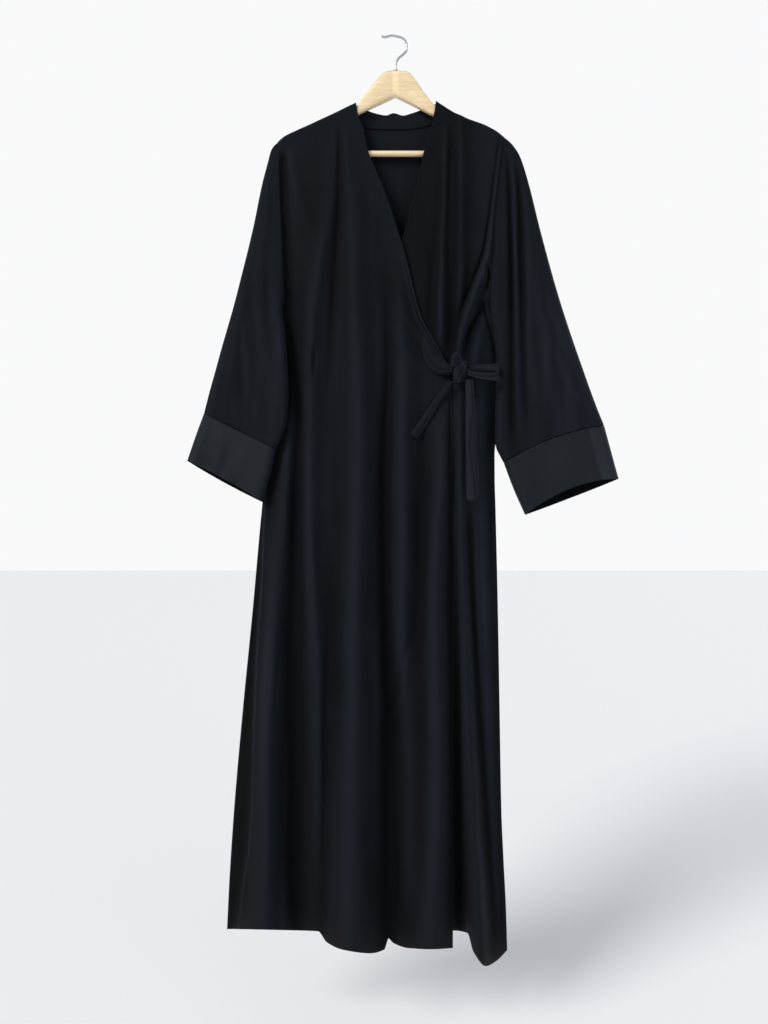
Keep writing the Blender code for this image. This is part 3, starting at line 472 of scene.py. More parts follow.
def grid_object(name, grid, outward, ring=False):
    """Makes a mesh from a grid of points, quads in rows and columns, with its own lengths as UV map."""
    rows, columns = grid.shape[:2]
    points = (grid * MM).reshape(-1, 3)
    r, c = np.meshgrid(np.arange(rows - 1), np.arange(columns if ring else columns - 1), indexing="ij")
    d = (c + 1) % columns
    quads = np.stack([r * columns + c, r * columns + d, (r + 1) * columns + d, (r + 1) * columns + c], axis=2)
    quads = quads.reshape(-1, 4)
    corner = points[quads]
    normal = np.cross(corner[:, 2] - corner[:, 0], corner[:, 3] - corner[:, 1])
    if outward is not None and np.sum(normal * outward(corner.mean(axis=1))) < 0:
        quads = quads[:, ::-1]
    mesh = bpy.data.meshes.new(name)
    mesh.vertices.add(len(points))
    mesh.vertices.foreach_set("co", points.astype(np.float32).ravel())
    mesh.loops.add(quads.size)
    mesh.loops.foreach_set("vertex_index", quads.astype(np.int32).ravel())
    mesh.polygons.add(len(quads))
    mesh.polygons.foreach_set("loop_start", np.arange(0, quads.size, 4, dtype=np.int32))
    mesh.polygons.foreach_set("use_smooth", np.ones(len(quads), bool))
    u, v = arc_lengths(points.reshape(rows, columns, 3))
    flat = np.stack([u.ravel(), -v.ravel()], axis=1)
    layer = mesh.uv_layers.new(name="lengths")
    layer.data.foreach_set("uv", flat[quads.ravel()].astype(np.float32).ravel())
    mesh.update(calc_edges=True)
    mesh.validate()
    made = bpy.data.objects.new(name, mesh)
    bpy.context.scene.collection.objects.link(made)
    return made


def cloth_object(name, x, y, z, outward, ring=False):
    """A surface from its three coordinates in millimetres, moved along the sight lines."""
    return grid_object(name, toward_eye(np.stack([x, y, z], axis=2)), outward, ring)


def in_front(points):
    """Outward is toward the camera."""
    return np.array([0.0, -1.0, 0.0]) + 0 * points


def behind(points):
    """Outward is away from the camera."""
    return np.array([0.0, 1.0, 0.0]) + 0 * points


def away_from_middle(points):
    """Outward is away from the piece's own middle."""
    return points - points.mean(axis=0)


def from_line(axis_points):
    """Outward for a tube: away from its own middle line, taken at the nearest height."""
    line = np.asarray(axis_points, float) * MM

    def outward(points):
        near = np.argmin(np.linalg.norm(points[:, None, :] - line[None, :, :], axis=2), axis=1)
        return points - line[near]
    return outward


def mark(made, **values):
    """Stores numbers for each point under their names, which the material reads."""
    for name, numbers in values.items():
        layer = made.data.attributes.new(name, "FLOAT", "POINT")
        layer.data.foreach_set("value", numbers.astype(np.float32).ravel())


def hem_patches(x, shift):
    """The thinner patches along a hem: slow waves across."""
    return np.clip(0.45 + 0.4 * np.sin(x / 26.0 + shift) + 0.3 * np.sin(x / 11.0 + 2 * shift), 0, 1)


def crest(height, reach, scale):
    """How far each point stands above its own row's local mean: 0.5 on the mean, 1 on ridges, 0 in valleys; the cloth's
    colour follows it as painted shade in valleys and painted highlight on ridges.
    """
    padded = np.pad(height, ((0, 0), (reach + 1, reach)), mode="edge")
    running = np.cumsum(padded, axis=1)
    mean = (running[:, 2 * reach + 1:] - running[:, :-2 * reach - 1]) / (2 * reach + 1)
    return np.clip(0.5 + (height - mean) / scale, 0, 1)


def finish(made, material, thickness=None):
    """Gives a piece its material and, for cloth, its thickness."""
    made.data.materials.append(material)
    if thickness:
        wall = made.modifiers.new("thickness", "SOLIDIFY")
        wall.thickness = thickness * MM
        wall.offset = -1
        wall.use_even_offset = False
    return made


# How worn and lit cloth differs from its light tone, in red, green and blue
WORN_TINT = (2.6, 1.75, 1.35)
GLINT_TINT = (3.2, 3.1, 2.9)


def feed(tree, socket, value):
    """Gives an input a number or colour, or links it to another node's output."""
    if isinstance(value, bpy.types.NodeSocket):
        tree.links.new(value, socket)
    else:
        socket.default_value = value


def node(tree, kind, inputs=None, **settings):
    """Adds a node with its settings by name and its inputs by name or number."""
    made = tree.nodes.new(kind)
    for key, value in settings.items():
        setattr(made, key, value)
    for key, value in (inputs or {}).items():
        feed(tree, made.inputs[key], value)
    return made


def maths(tree, operation, *values):
    """The result of one operation on sockets or numbers."""
    return node(tree, "ShaderNodeMath", dict(enumerate(values)), operation=operation).outputs[0]


def times_plus(tree, value, factor, more):
    """A value times a factor, plus more."""
    return maths(tree, "ADD", maths(tree, "MULTIPLY", value, factor), more)


def attribute(tree, name):
    """A number stored on the piece's points."""
    return node(tree, "ShaderNodeAttribute", attribute_name=name).outputs["Fac"]


def noise(tree, place, scale, detail, distortion=0.0):
    """Soft random patches over a position."""
    values = {"Vector": place, "Scale": scale, "Detail": detail, "Distortion": distortion}
    return node(tree, "ShaderNodeTexNoise", values).outputs[0]


def ramp(tree, value, low, dark, high, light):
    """A ramp from a dark to a light colour between two values."""
    made = node(tree, "ShaderNodeValToRGB", {0: value})
    for stop, at, colour in zip(made.color_ramp.elements, (low, high), (dark, light)):
        stop.position = at
        stop.color = (*colour, 1)
    return made.outputs[0]


def mixed(tree, blend, factor, one, two):
    """Two colours mixed by a factor."""
    made = node(tree, "ShaderNodeMix", data_type="RGBA", blend_type=blend)
    for slot, value in (("Factor", factor), (6, one), (7, two)):
        feed(tree, made.inputs[slot], value)
    return made.outputs[2]


def relief(tree, height, strength, distance):
    """A bump normal from a height."""
    values = {"Strength": strength, "Distance": distance, "Height": height}
    return node(tree, "ShaderNodeBump", values).outputs[0]


def new_material(name):
    """A material, its node tree and its main shader."""
    material = bpy.data.materials.new(name)
    material.use_nodes = True
    return material, material.node_tree, material.node_tree.nodes["Principled BSDF"]


def dress(tree, shader, inputs):
    """Feeds the shader's inputs by name."""
    for name, value in inputs.items():
        feed(tree, shader.inputs[name], value)


def crepe_group():
    """Crepe: fine crossed threads broken up by a pebbled twist, and slow patches of tone."""
    group = bpy.data.node_groups.new("crepe", "ShaderNodeTree")
    for name, way, kind, value in (("Lengths", "INPUT", "Vector", None),
                                   ("Threads per metre", "INPUT", "Float", 1800.0), ("Pebble", "INPUT", "Float", 0.6),
                                   ("Height", "OUTPUT", "Float", None), ("Tone", "OUTPUT", "Float", None)):
        made = group.interface.new_socket(name=name, in_out=way, socket_type="NodeSocket" + kind)
        if value is not None:
            made.default_value = value
    start = node(group, "NodeGroupInput").outputs
    split = node(group, "ShaderNodeSeparateXYZ", {0: start["Lengths"]}).outputs
    turns = maths(group, "MULTIPLY", start["Threads per metre"], 6.2832)
    warp, weft = (maths(group, "SINE", maths(group, "MULTIPLY", split[axis], turns)) for axis in "XY")
    threads = maths(group, "MULTIPLY", warp, weft)
    pebble = noise(group, start["Lengths"], maths(group, "MULTIPLY", start["Threads per metre"], 0.62), 2.0)
    grain = maths(group, "MULTIPLY", pebble, start["Pebble"])
    patch = noise(group, start["Lengths"], 9.0, 3.0)
    node(group, "NodeGroupOutput", {"Height": times_plus(group, threads, 0.3, grain), "Tone": patch})
    return group


def cloth_material(name, group, dark, light, roughness, threads, pebble, bump, sheen, edge_light):
    """Dyed cloth: its tone drifts slowly, its grain comes from the crepe group, its pile from a soft sheen; numbers on
    each piece add a worn tint, painted shade and highlight by ridge and valley, a painted highlight, and painted shade
    bands that darken colour and sheen.
    """
    material, tree, shader = new_material(name)
    lengths = node(tree, "ShaderNodeUVMap", uv_map="lengths").outputs[0]
    weave = node(tree, "ShaderNodeGroup", {"Lengths": lengths, "Threads per metre": threads, "Pebble": pebble},
                 node_tree=group).outputs
    drift = maths(tree, "MULTIPLY", weave["Tone"], 0.3)
    # Painted shade and highlight: the colour runs from its valley shade to its ridge highlight by how far the cloth
    # stands above its neighbours, with slow random tone on top.
    tone = ramp(tree, times_plus(tree, attribute(tree, "crest"), 0.7, drift), 0.2, dark, 0.8, light)
    worn = maths(tree, "MULTIPLY", attribute(tree, "worn"), edge_light)
    tone = mixed(tree, "MIX", worn, tone, (*np.multiply(light, WORN_TINT), 1))
    # Painted highlight: the stored light number mixes in a pale glint colour.
    tone = mixed(tree, "MIX", attribute(tree, "light"), tone, (*np.multiply(light, GLINT_TINT), 1))
    # Painted shade, or painted highlight where the stored number is below 0: it scales the base colour and the sheen
    # together.
    kept = times_plus(tree, attribute(tree, "dim"), -1.0, 1.0)
    dress(tree, shader, {
        "Base Color": node(tree, "ShaderNodeVectorMath", {0: tone, "Scale": kept}, operation="SCALE").outputs[0],
        "Roughness": times_plus(tree, weave["Height"], 0.12, roughness),
        "Normal": relief(tree, weave["Height"], bump, 0.0003),
        "Sheen Weight": maths(tree, "MULTIPLY", kept, sheen),
        "Sheen Roughness": 0.45,
        "Sheen Tint": (0.62, 0.68, 0.8, 1),
        "Specular IOR Level": 0.12,
    })
    return material


def plain_material(name, colour, roughness):
    """One even colour, almost without shine."""
    material, tree, shader = new_material(name)
    dress(tree, shader, {"Base Color": (*colour, 1), "Roughness": roughness, "Specular IOR Level": 0.1})
    return material


def wood_material():
    """Pale beech: grain streaks along the arm, short dark flecks, a painted highlight on the strip where the arms meet
    with painted shade on the arm beside it, a satin coat.
    """
    material, tree, shader = new_material("beech")
    place = node(tree, "ShaderNodeTexCoord").outputs["Object"]
    long, short = (node(tree, "ShaderNodeMapping", {"Vector": place, "Scale": scale}).outputs[0]
                   for scale in ((14, 160, 160), (120, 900, 900)))
    streak = noise(tree, long, 1.0, 6.0, 0.6)
    fleck = node(tree, "ShaderNodeTexVoronoi", {"Vector": short, "Scale": 1.0}).outputs["Distance"]
    tone = ramp(tree, streak, 0.3, (0.82, 0.60, 0.34), 0.68, (0.96, 0.78, 0.50))
    tone = mixed(tree, "MULTIPLY", 0.15, tone, fleck)
    dress(tree, shader, {
        "Base Color": mixed(tree, "MULTIPLY", 1.0, tone, times_plus(tree, attribute(tree, "facet"), 0.14, 1.0)),
        "Roughness": times_plus(tree, streak, 0.18, 0.3),
        "Normal": relief(tree, streak, 0.15, 0.0002),
        "Coat Weight": 0.35,
        "Coat Roughness": 0.18,
    })
    return material


def chrome_material():
    """Plated wire: bright, with faint drawn lines and a little dulling."""
    material, tree, shader = new_material("chrome_wire")
    haze = noise(tree, node(tree, "ShaderNodeTexCoord").outputs["Object"], 260.0, 4.0)
    dress(tree, shader, {"Base Color": (0.56, 0.57, 0.58, 1), "Metallic": 1.0,
                         "Roughness": times_plus(tree, haze, 0.16, 0.36)})
    return material


# Cloth surfaces
def lay_out(left, right, top, hem, us, vs, top_fade, hem_fade):
    """A four-sided patch: straight rows between the side lines, pulled to the top and hem lines near them."""
    def straight(end, column):
        return left[end][column] + (right[end][column] - left[end][column]) * us

    u, v = np.meshgrid(us, vs)
    left_z, right_z = (side[0][0] + (side[-1][0] - side[0][0]) * v for side in (left, right))
    left_x = smooth(left, 1, left_z)
    x = left_x + (smooth(right, 1, right_z) - left_x) * u
    z = left_z + (right_z - left_z) * u
    z = z + (smooth(top, 1, straight(0, 1)) - straight(0, 0)) * np.clip(1 - v / top_fade, 0, 1) ** 2
    z = z + (smooth(hem, 1, straight(-1, 1)) - straight(-1, 0)) * np.clip(1 - (1 - v) / hem_fade, 0, 1) ** 2
    return x, z


def hole_depth(hole, z):
    """How far an armhole stands open: half a circle's height between its top and its underarm."""
    share = np.clip((hole[0][0] - z) / (hole[0][0] - hole[-1][0]), 0, 1)
    return ARMHOLE_DEPTH * 2 * np.sqrt(share * (1 - share))


def side_depth(full, away, z, hole):
    """Depth near an armhole or a side seam: the armhole stands open, the side seam is nearly flat."""
    open_by = hole_depth(hole, z)
    start = SEAM / 2 + np.where(z > hole[-1][0], open_by, 0) + 2.4 * arch(away / 4.0) * (1 - open_by / ARMHOLE_DEPTH)
    soft = SHOULDER_SOFT + (SIDE_SOFT - SHOULDER_SOFT) * ease((-z - 215) / 90)
    return start + np.maximum(full - start, 0) * ease(away / soft)


def turned_under(x, depth, z, hole, side):
    """Adds the armhole's seam allowance: three columns past the edge, deeper, fading out below the underarm."""
    edge = -1 if side > 0 else 0
    wide = 0.25 + 3.6 * ease((z[:, edge] - hole[-1][0] + 14) / 12)
    wide = wide * ease((hole[0][0] + 1 - z[:, edge]) / 14) + 0.05
    low = np.minimum(depth[:, edge], 0.15 + np.maximum(depth[:, edge] - 1.5, 0))
    more_x = np.stack([x[:, edge] + side * wide * share for share in (0.12, 0.5, 1.0)], axis=1)
    more_d = np.stack([low + (depth[:, edge] - low) * share for share in (0.55, 0.1, 0.0)], axis=1)
    more_z = np.stack([z[:, edge]] * 3, axis=1)
    if side > 0:
        parts = [(x, more_x), (depth, more_d), (z, more_z)]
    else:
        parts = [(more_x[:, ::-1], x), (more_d[:, ::-1], depth), (more_z, z)]
    return [np.concatenate(pair, axis=1) for pair in parts]


def row_stations(above, below, underarm):
    """Rows close together over the shoulder, even to the underarm, then even to the hem."""
    start = [0, 0.0003, 0.0008, 0.0015, 0.0024, 0.0034, 0.0045, 0.006, 0.008, 0.0105, 0.0135, 0.017]
    return stations(start, np.linspace(0.022, underarm, above), np.linspace(underarm, 1, below))


def hem_worn(z, shift, x):
    """The thinner and browner hem, in patches: full at its edge, gone at the height HEM_WORN above it."""
    return np.clip(1 - (z - z[-1:, :]) / HEM_WORN, 0, 1) ** 1.5 * hem_patches(x, shift)


def beside(values, side):
    """Adds three columns of nothing for the seam allowance."""
    none = np.zeros((len(values), 3))
    return np.concatenate([none, values] if side < 0 else [values, none], axis=1)


def calm_above(z, start=150):
    """0 over the shoulders, where the cloth is drawn smooth, 1 a little lower."""
    return ease((-z - start) / 150)


def rounded(depth, z):
    """Rounds a panel over to the seam plane at its top edge."""
    return SEAM / 2 + (depth - SEAM / 2) * arch((z[:1, :] - z) / ROUND)


def raised(depth, rise, away):
    """Adds a rise that starts at the side seam and never sinks through the seam plane."""
    return np.maximum(depth + rise * ease(away / 4), SEAM / 2 + 0.4 * ease(away / 2))


def over_height(x, z):
    """How far the over front stands from the seam plane, away from its own edges."""
    calm = calm_above(z)
    full = smooth(STAND, 1, z) + OVER_LIFT * calm + fold_rise(OVER_FOLDS, x, z)
    full = full + fold_rise(OVER_VALLEYS, x, z) + fold_rise(OVER_CREASES, x, z)
    return full + (uneven(x, z, 0.0) + 1.0) * calm


def front_right():
    """The over panel: stand and folds, eased in from the side, a bell along the V edge and a groove inside it."""
    us = stations([0, 0.002, 0.004, 0.007, 0.01, 0.014, 0.02], np.linspace(0.026, 0.985, 128),
                  [0.989, 0.993, 0.9965, 1])
    vs = row_stations(70, 190, UNDERARM_RIGHT)
    x, z = lay_out(ARMHOLE_RIGHT + SIDE_RIGHT[1:], OVER_EDGE, SHOULDER_RIGHT, OVER_HEM, us, vs, TOP_FADE, HEM_FADE)
    away = x - x[:, :1]
    edge = x[:, -1:] - x
    depth = side_depth(over_height(x, z), away, z, ARMHOLE_RIGHT)
    depth = raised(depth, fold_rise(SIDE_LINES, x, z), away)
    rolled = span(z, 330, 60, 545, 30)
    depth = depth + 1.4 * bell(edge, 1.4, 1.5) * calm_above(z)
    depth = rounded(depth - 2.0 * bell(edge, 5.0, 1.3) * rolled, z)
    worn = hem_worn(z, 0.0, x)
    # Painted highlight along the rolled V edge and on the side seam's line.
    light = (0.3 * bell(edge, 1.6, 1.0) + 0.12 * bell(edge, 8.5, 2.0)) * rolled
    light = np.maximum(light, SIDE_GLINT * fold_rise({"seam": SIDE_LINES["seam"]}, x, z) / SEAM_RISE)
    lower = ease((-z - 440) / 80)
    # Painted shade: a dark band along the armhole seam, taken off the ridge tone and stored as painted shade.
    shade = beside(bell(away, 7 + 9 * lower, 7.0 + 5 * lower) * span(z, 190, 40, 680, 60), -1)
    # Painted shade toward the hem beside the side seam, plus the listed painted shade bands (painted highlight where a
    # share is below 0).
    outer = 0.5 * ease((-z - 1060) / 260) * ease((-x - 222) / 16) + PAINTED_SHADE_SCALE * fold_rise(OVER_PAINTED_SHADE, x, z)
    x, depth, z = turned_under(x, depth, z, ARMHOLE_RIGHT, -1)
    made = cloth_object("front_right_cloth", x, -depth, z, in_front)
    mark(made, worn=beside(worn, -1), crest=np.clip(crest(depth, 12, 16.0) - 0.9 * shade, 0, 1),
         dim=np.clip(np.maximum(0.4 * shade, beside(outer, -1)), -1.0, 0.75), light=beside(light, -1))
    return made


def front_left():
    """The under panel: stand, folds and the pull to the knot, kept 4 mm under the over panel where that lies."""
    us = stations(np.linspace(0, 0.975, 118), [0.98, 0.984, 0.988, 0.991, 0.994, 0.997, 1])
    vs = row_stations(70, 180, UNDERARM_LEFT)
    x, z = lay_out(UNDER_EDGE, ARMHOLE_LEFT + SIDE_LEFT[1:], SHOULDER_LEFT, UNDER_HEM, us, vs, TOP_FADE, HEM_FADE)
    away = x[:, -1:] - x
    calm = calm_above(z)
    full = smooth(STAND, 1, z) + fold_rise(UNDER_FOLDS, x, z)
    full = full + fold_rise(UNDER_VALLEYS, x, z) + fold_rise(UNDER_CREASES, x, z)
    full = full + (uneven(x, z, 1.7) * 0.8 - 0.6) * calm
    depth = side_depth(full, away, z, ARMHOLE_LEFT) + 1.0 * bell(x - x[:, :1], 1.4, 1.5) * calm
    depth = raised(depth, fold_rise(PULLS, x, z), away)
    # Painted highlight on the face of the pull to the knot.
    light = 0.012 * fold_rise({"face": PULLS["face"]}, x, z) * ease(away / 3)
    hidden = ease((smooth(OVER_EDGE, 1, z) + 4 - x) / 6) * ease((-z - 350) / 60)
    above = over_height(x, z) - 4.0
    depth = rounded(np.where(hidden > 0, np.minimum(depth, above + 40 * (1 - hidden)), depth), z)
    worn = hem_worn(z, 2.0, x)
    # Painted shade and highlight in the listed bands.
    painted_shade_bands = PAINTED_SHADE_SCALE * fold_rise(UNDER_PAINTED_SHADE, x, z)
    x, depth, z = turned_under(x, depth, z, ARMHOLE_LEFT, 1)
    made = cloth_object("front_left_cloth", x, -depth, z, in_front)
    # Painted shade over the upper under panel, taken off its ridge tone.
    inside = 0.3 * ease((z + 600) / 60) * ease((150 - x) / 30)
    mark(made, worn=beside(worn, 1), dim=beside(painted_shade_bands, 1), crest=np.clip(crest(depth, 12, 14.0) - inside, 0, 1),
         light=beside(light, 1))
    return made


def back_surface():
    """The back before its seam allowances: stand and folds, the smaller of both side depths, open at the neck."""
    us = stations([0, 0.0015, 0.003, 0.005, 0.008, 0.012], np.linspace(0.017, 0.983, 116),
                  [0.988, 0.992, 0.995, 0.997, 0.9985, 1])
    left = ARMHOLE_RIGHT + SIDE_RIGHT[1:]
    right = ARMHOLE_LEFT + SIDE_LEFT[1:]
    vs = stations(row_stations(50, 130, UNDERARM_RIGHT), [UNDERARM_LEFT])
    x, z = lay_out(left, right, BACK_NECK, BACK_HEM, us, vs, BACK_TOP_FADE, HEM_FADE)
    full = smooth(STAND, 2, z) + fold_rise(BACK_FOLDS, x, z) + fold_rise(BACK_CREASES, x, z)
    full = full + uneven(x, z, 3.3) * calm_above(z, 170)
    near_right = side_depth(full, x - x[:, :1], z, ARMHOLE_RIGHT)
    near_left = side_depth(full, x[:, -1:] - x, z, ARMHOLE_LEFT)
    depth = np.minimum(near_right, near_left)
    open_neck = ease((x[:1, :] + 92) / 10) * ease((90 - x[:1, :]) / 8)
    over = np.maximum(arch((z[:1, :] - z) / ROUND), open_neck)
    return np.stack([x, SEAM / 2 + (depth - SEAM / 2) * over, z], axis=2)


def back(surface):
    """The back panel with both seam allowances, its hem worn a little less than the fronts'."""
    x, depth, z = np.moveaxis(surface, 2, 0)
    worn = hem_worn(z, 4.0, x) * 0.6
    worn = np.concatenate([worn[:, :1]] * 3 + [worn] + [worn[:, -1:]] * 3, axis=1)
    x, depth, z = turned_under(x, depth, z, ARMHOLE_RIGHT, -1)
    x, depth, z = turned_under(x, depth, z, ARMHOLE_LEFT, 1)
    made = cloth_object("back_cloth", x, depth, z, behind)
    # Painted shade in the valleys and painted highlight on the ridges, from how far the cloth stands out.
    mark(made, worn=worn, crest=crest(depth, 10, 14.0))
    return made


def neckband(surface):
    """The standing band: it rises from the back's own top edge, its top a wavy line."""
    edge = surface[0][(surface[0][:, 0] > -90.5) & (surface[0][:, 0] < 81)]
    rows = 14
    x = edge[None, :, 0] + np.zeros((rows, 1))
    v = np.linspace(0, 1, rows)[:, None]
    low = edge[None, :, 2] + SEAM
    top = np.maximum(smooth(BAND_TOP, 1, x), low + 1.0)
    z = low + (top - low) * v
    free = ease((x - BAND_FROM) / 9) * ease((BAND_TO - x) / 9)
    over = np.maximum(free, np.clip((top - z) / ROUND, 0, 1))
    depth = np.maximum(edge[None, :, 1] * over, SEAM / 2) + 0.5 * np.sin(x / 7.0) * v * free
    ease_in = np.clip(np.minimum(x[:1] - BAND_FROM, BAND_TO - x[:1]) / 12, 0, 1)
    tucked = depth[:1] - 1.5 * ease_in
    depth = np.concatenate([tucked, tucked, tucked + 0.2 * ease_in, depth])
    z = np.concatenate([z[:1] - 1.6 * ease_in, z[:1] - 0.8 * ease_in, z[:1] - 0.3 * ease_in, z])
    x = np.concatenate([x[:1]] * 3 + [x])
    made = cloth_object("neckband_cloth", x, depth, z, behind)
    mark(made, worn=0.12 * ease((z - low) / (top - low).mean()), crest=0.5 + 0 * x)
    return made


def layer(top_x, top_z, low_x, low_z, half, forward, open_by, front, t):
    """One side of a flattened tube: t runs from its outer edge to its inner edge."""
    x = top_x + (low_x - top_x) * t
    z = top_z + (low_z - top_z) * t
    width = np.hypot(low_x - top_x, low_z - top_z)
    from_top = arch(width * t / TUBE_ROUND)
    soft = np.where(front > 0, TUBE_ROUND, UNDER_SOFT)
    half = np.where(front > 0, half, half * 0.75)
    ratio = np.clip(open_by / half, 0, 1)
    deep = half * from_top * (ratio + (1 - ratio) * arch(width * (1 - t) / soft))
    middle = forward * t ** 1.5
    return x, middle - front * np.maximum(deep, SEAM / 2), z, middle


def spread(count):
    """Stations from 0 to 1, closer together at both ends."""
    return 0.3 * (1 - np.cos(np.linspace(0, np.pi, count))) + 0.4 * np.linspace(0, 1, count)


def sleeve(name, table, armhole, inner, side, folds, painted_shade_bands, bow, shift):
    """A sleeve cut as one piece: from the front of the armhole round its outer edge to the back, row by row down."""
    t = np.concatenate([spread(AROUND)[::-1], spread(AROUND)[1:]])[None, :]
    front = np.concatenate([np.ones(AROUND), -np.ones(AROUND - 1)])[None, :]
    v = np.linspace(0, 1, SLEEVE_ROWS)[:, None]
    top_x, top_z, low_z, half, forward = readings(table, v)
    low_x = np.where(low_z > armhole[-1][0], smooth(armhole, 1, low_z) + 0.15 * side, smooth(inner, 1, low_z))
    open_by = hole_depth(armhole, low_z) * arch((armhole[0][0] - low_z) / ROUND)
    x, y, z, middle = layer(top_x, top_z, low_x, low_z, half, forward, open_by, front, t)
    z = z + bow * 4 * t * (1 - t) * v ** 5
    inside = np.sin(np.pi * t) ** 0.7
    y = y - np.where(front > 0, fold_rise(folds, x, z) * inside, 0)
    y = y - front * uneven(x * 1.4, z * 1.2, shift) * inside * ease(v * 5)
    grid = np.stack([x, y, z], axis=2)
    end = grid[-1:]
    way = unit(end - grid[-6:-5])
    inward = unit(end.mean(axis=1, keepdims=True) - end)
    drawn = [end + way * 0.4 + inward * 0.9, end + way * 2.0 + inward * 1.5, end + way * 5.0 + inward * 1.8]
    for row in drawn:
        deep = np.maximum(np.abs(end[..., 1] - middle[-1:]) - 1.7, 0.2)
        row[..., 1] = middle[-1:] - front * deep + way[..., 1]
    grid = np.concatenate([grid, *drawn])
    x = grid[..., 0]
    made = grid_object(name, toward_eye(grid), away_from_middle)
    # Painted shade and highlight: the listed bands on the front layer, and ridge and valley tone from how far the cloth
    # stands out.
    mark(made, worn=0 * x, dim=np.where(front > 0, PAINTED_SHADE_SCALE * fold_rise(painted_shade_bands, x, grid[..., 2]), 0),
         crest=crest(-grid[..., 1] * front, 5, 7.0))
    return made


# Cuff dents as (across, down, half_across, half_down, rise)
DENTS_RIGHT = read("""0.42 0.8 0.05 0.35 -2.6, 0.62 1 0.05 0.14 -2.6, 0.2 0.85 0.13 0.25 -1.8, 0.62 0.5 0.13 0.35 2,
    0.3 0.25 0.2 0.25 1, 0.85 0.8 0.08 0.3 1.2, 0.05 0.2 0.06 0.2 -1""")
DENTS_LEFT = read("""0.17 0.3 0.03 0.7 -0.8, 0.5 0.45 0.2 0.35 1.2, 0.8 0.7 0.1 0.3 -1.4, 0.36 0.8 0.1 0.2 -0.8,
    0.9 0.35 0.07 0.3 1""")


def cuff(name, table, dents_at, fold_strip_highlight, shift):
    """A deep cuff: a closed ring carried down from the sleeve's end, its back edge lower than its front."""
    t = np.concatenate([spread(AROUND)[::-1], spread(AROUND)[1:-1]])[None, :]
    front = np.concatenate([np.ones(AROUND), -np.ones(AROUND - 2)])[None, :]
    v = np.linspace(0, 1, CUFF_ROWS)[:, None]
    *shape, half, forward, front_drop, back_drop = readings(table, v)
    x, y, z, middle = layer(*shape, half, forward, 0.0, front, t)
    y = np.where((t > 0.001) & (t < 0.999), y, middle)
    z = z + np.where(front > 0, front_drop, back_drop) * 4 * t * (1 - t)
    inside = np.sin(np.pi * t) ** 0.7
    dents = sum(high * np.exp(-((t - at) / wide) ** 2 - ((v - down) / tall) ** 2)
                for at, down, wide, tall, high in dents_at)
    y = y - front * (uneven(x * 0.8, z * 0.8, shift) * 0.8 + dents) * inside
    made = cloth_object(name, x, y, z, away_from_middle, True)
    # Painted shade and highlight: the dents' hollows darker and their bumps lighter; a painted highlight on a strip of
    # the front layer near its outer edge.
    mark(made, worn=0 * x + 0.5 * bell(v, 1, 0.03), crest=np.clip(0.62 + 0.16 * dents * inside + 0 * x, 0, 1),
         light=fold_strip_highlight * ease((0.17 + 0.02 * v - t) / 0.02) * (0.5 + 0.5 * v) * (front > 0))
    return made


# Ties as (share, x, y, z, width)
TIE_BAND = read("""0 44 0 -512 2, 0.3 53 0 -531 17, 0.55 64 0 -553 29, 0.75 76 0 -566 27, 0.9 88 0 -571 18,
    1 96.3 0 -572 14""")
TAIL_SHORT = read("""0 93.6 0 -590 8, 0.5 64 0 -635 12, 0.9 36 0 -677 15, 1 29 0 -686 14""")
TAIL_LONG = read("""0 125 -37 -588 13, 0.2 127 -40 -622 15, 0.35 128.5 -42 -655 19, 0.6 129 -44 -700 19,
    0.85 131 -47 -762 22, 0.95 131 -47.8 -786 21, 0.99 129.5 -48 -795 15, 1 128.5 -48 -797 10""")
LOOP = read("""0 121.8 -33.5 -569 8, 0.2 145 -31 -566.5 9, 0.42 170 -32 -567.5 13, 0.5 177 -36.5 -575 23,
    0.57 171 -41.5 -583 15, 0.8 146 -44 -581.5 11, 1 122.3 -41 -576 8""")
FOLD = read("""0 98 -43 -566 12, 0.35 100 -46 -550 10, 0.6 103 -45 -545 9, 1 110 -41 -562 12""")


def along(rows, count):
    """Points and widths along a table of (share, x, y, z, width)."""
    s = np.linspace(0, 1, count)
    *place, width = readings(rows, s)
    return np.stack(place, axis=1), width


def sideways(path):
    """The way across a strap that lies facing forward."""
    line = np.gradient(path, axis=0)
    return unit(np.stack([line[:, 2], 0 * line[:, 0], -line[:, 0]], axis=1))


def strap(name, path, across, face, widths, cup, groove, turn, glow, tone=0.85):
    """A strap: a strip along a path, cupped across, with one groove that wanders from side to side on its way; the
    groove is darkened as painted shade and the face carries a painted highlight, stronger on one side of the groove.
    """
    s = np.linspace(0, 1, len(path))[:, None, None]
    u = np.linspace(-1, 1, 33)[None, :, None]
    half = widths[:, None, None] / 2
    line = 0.15 + 0.4 * np.sin(turn * s + 0.6)
    other = -0.5 + 0.25 * np.sin(turn * 1.7 * s + 2.2)
    dip = bell(u, line, 0.2) + 0.4 * bell(u, other, 0.15)
    rise = (cup * (1 - u * u) - groove * dip * (1 - u ** 4)) * ease(s * 3 + 0.15)
    grid = path[:, None, :] + across[:, None, :] * u * half + face[:, None, :] * rise
    made = grid_object(name, toward_eye(grid), in_front)
    full = 0 * grid[..., 0]
    # Painted highlight stronger on one side of the groove line and weaker in the groove; painted shade in the groove
    # through the ridge tone.
    lit = glow * (0.5 + 0.5 * ease((line - u) / 0.5)[..., 0]) * (1 - 0.6 * np.clip(dip[..., 0], 0, 1))
    mark(made, worn=0.2 * np.abs(u[..., 0]) ** 6 + full, crest=np.clip(tone - 0.35 * dip[..., 0], 0, 1) + full,
         light=lit + full)
    return made


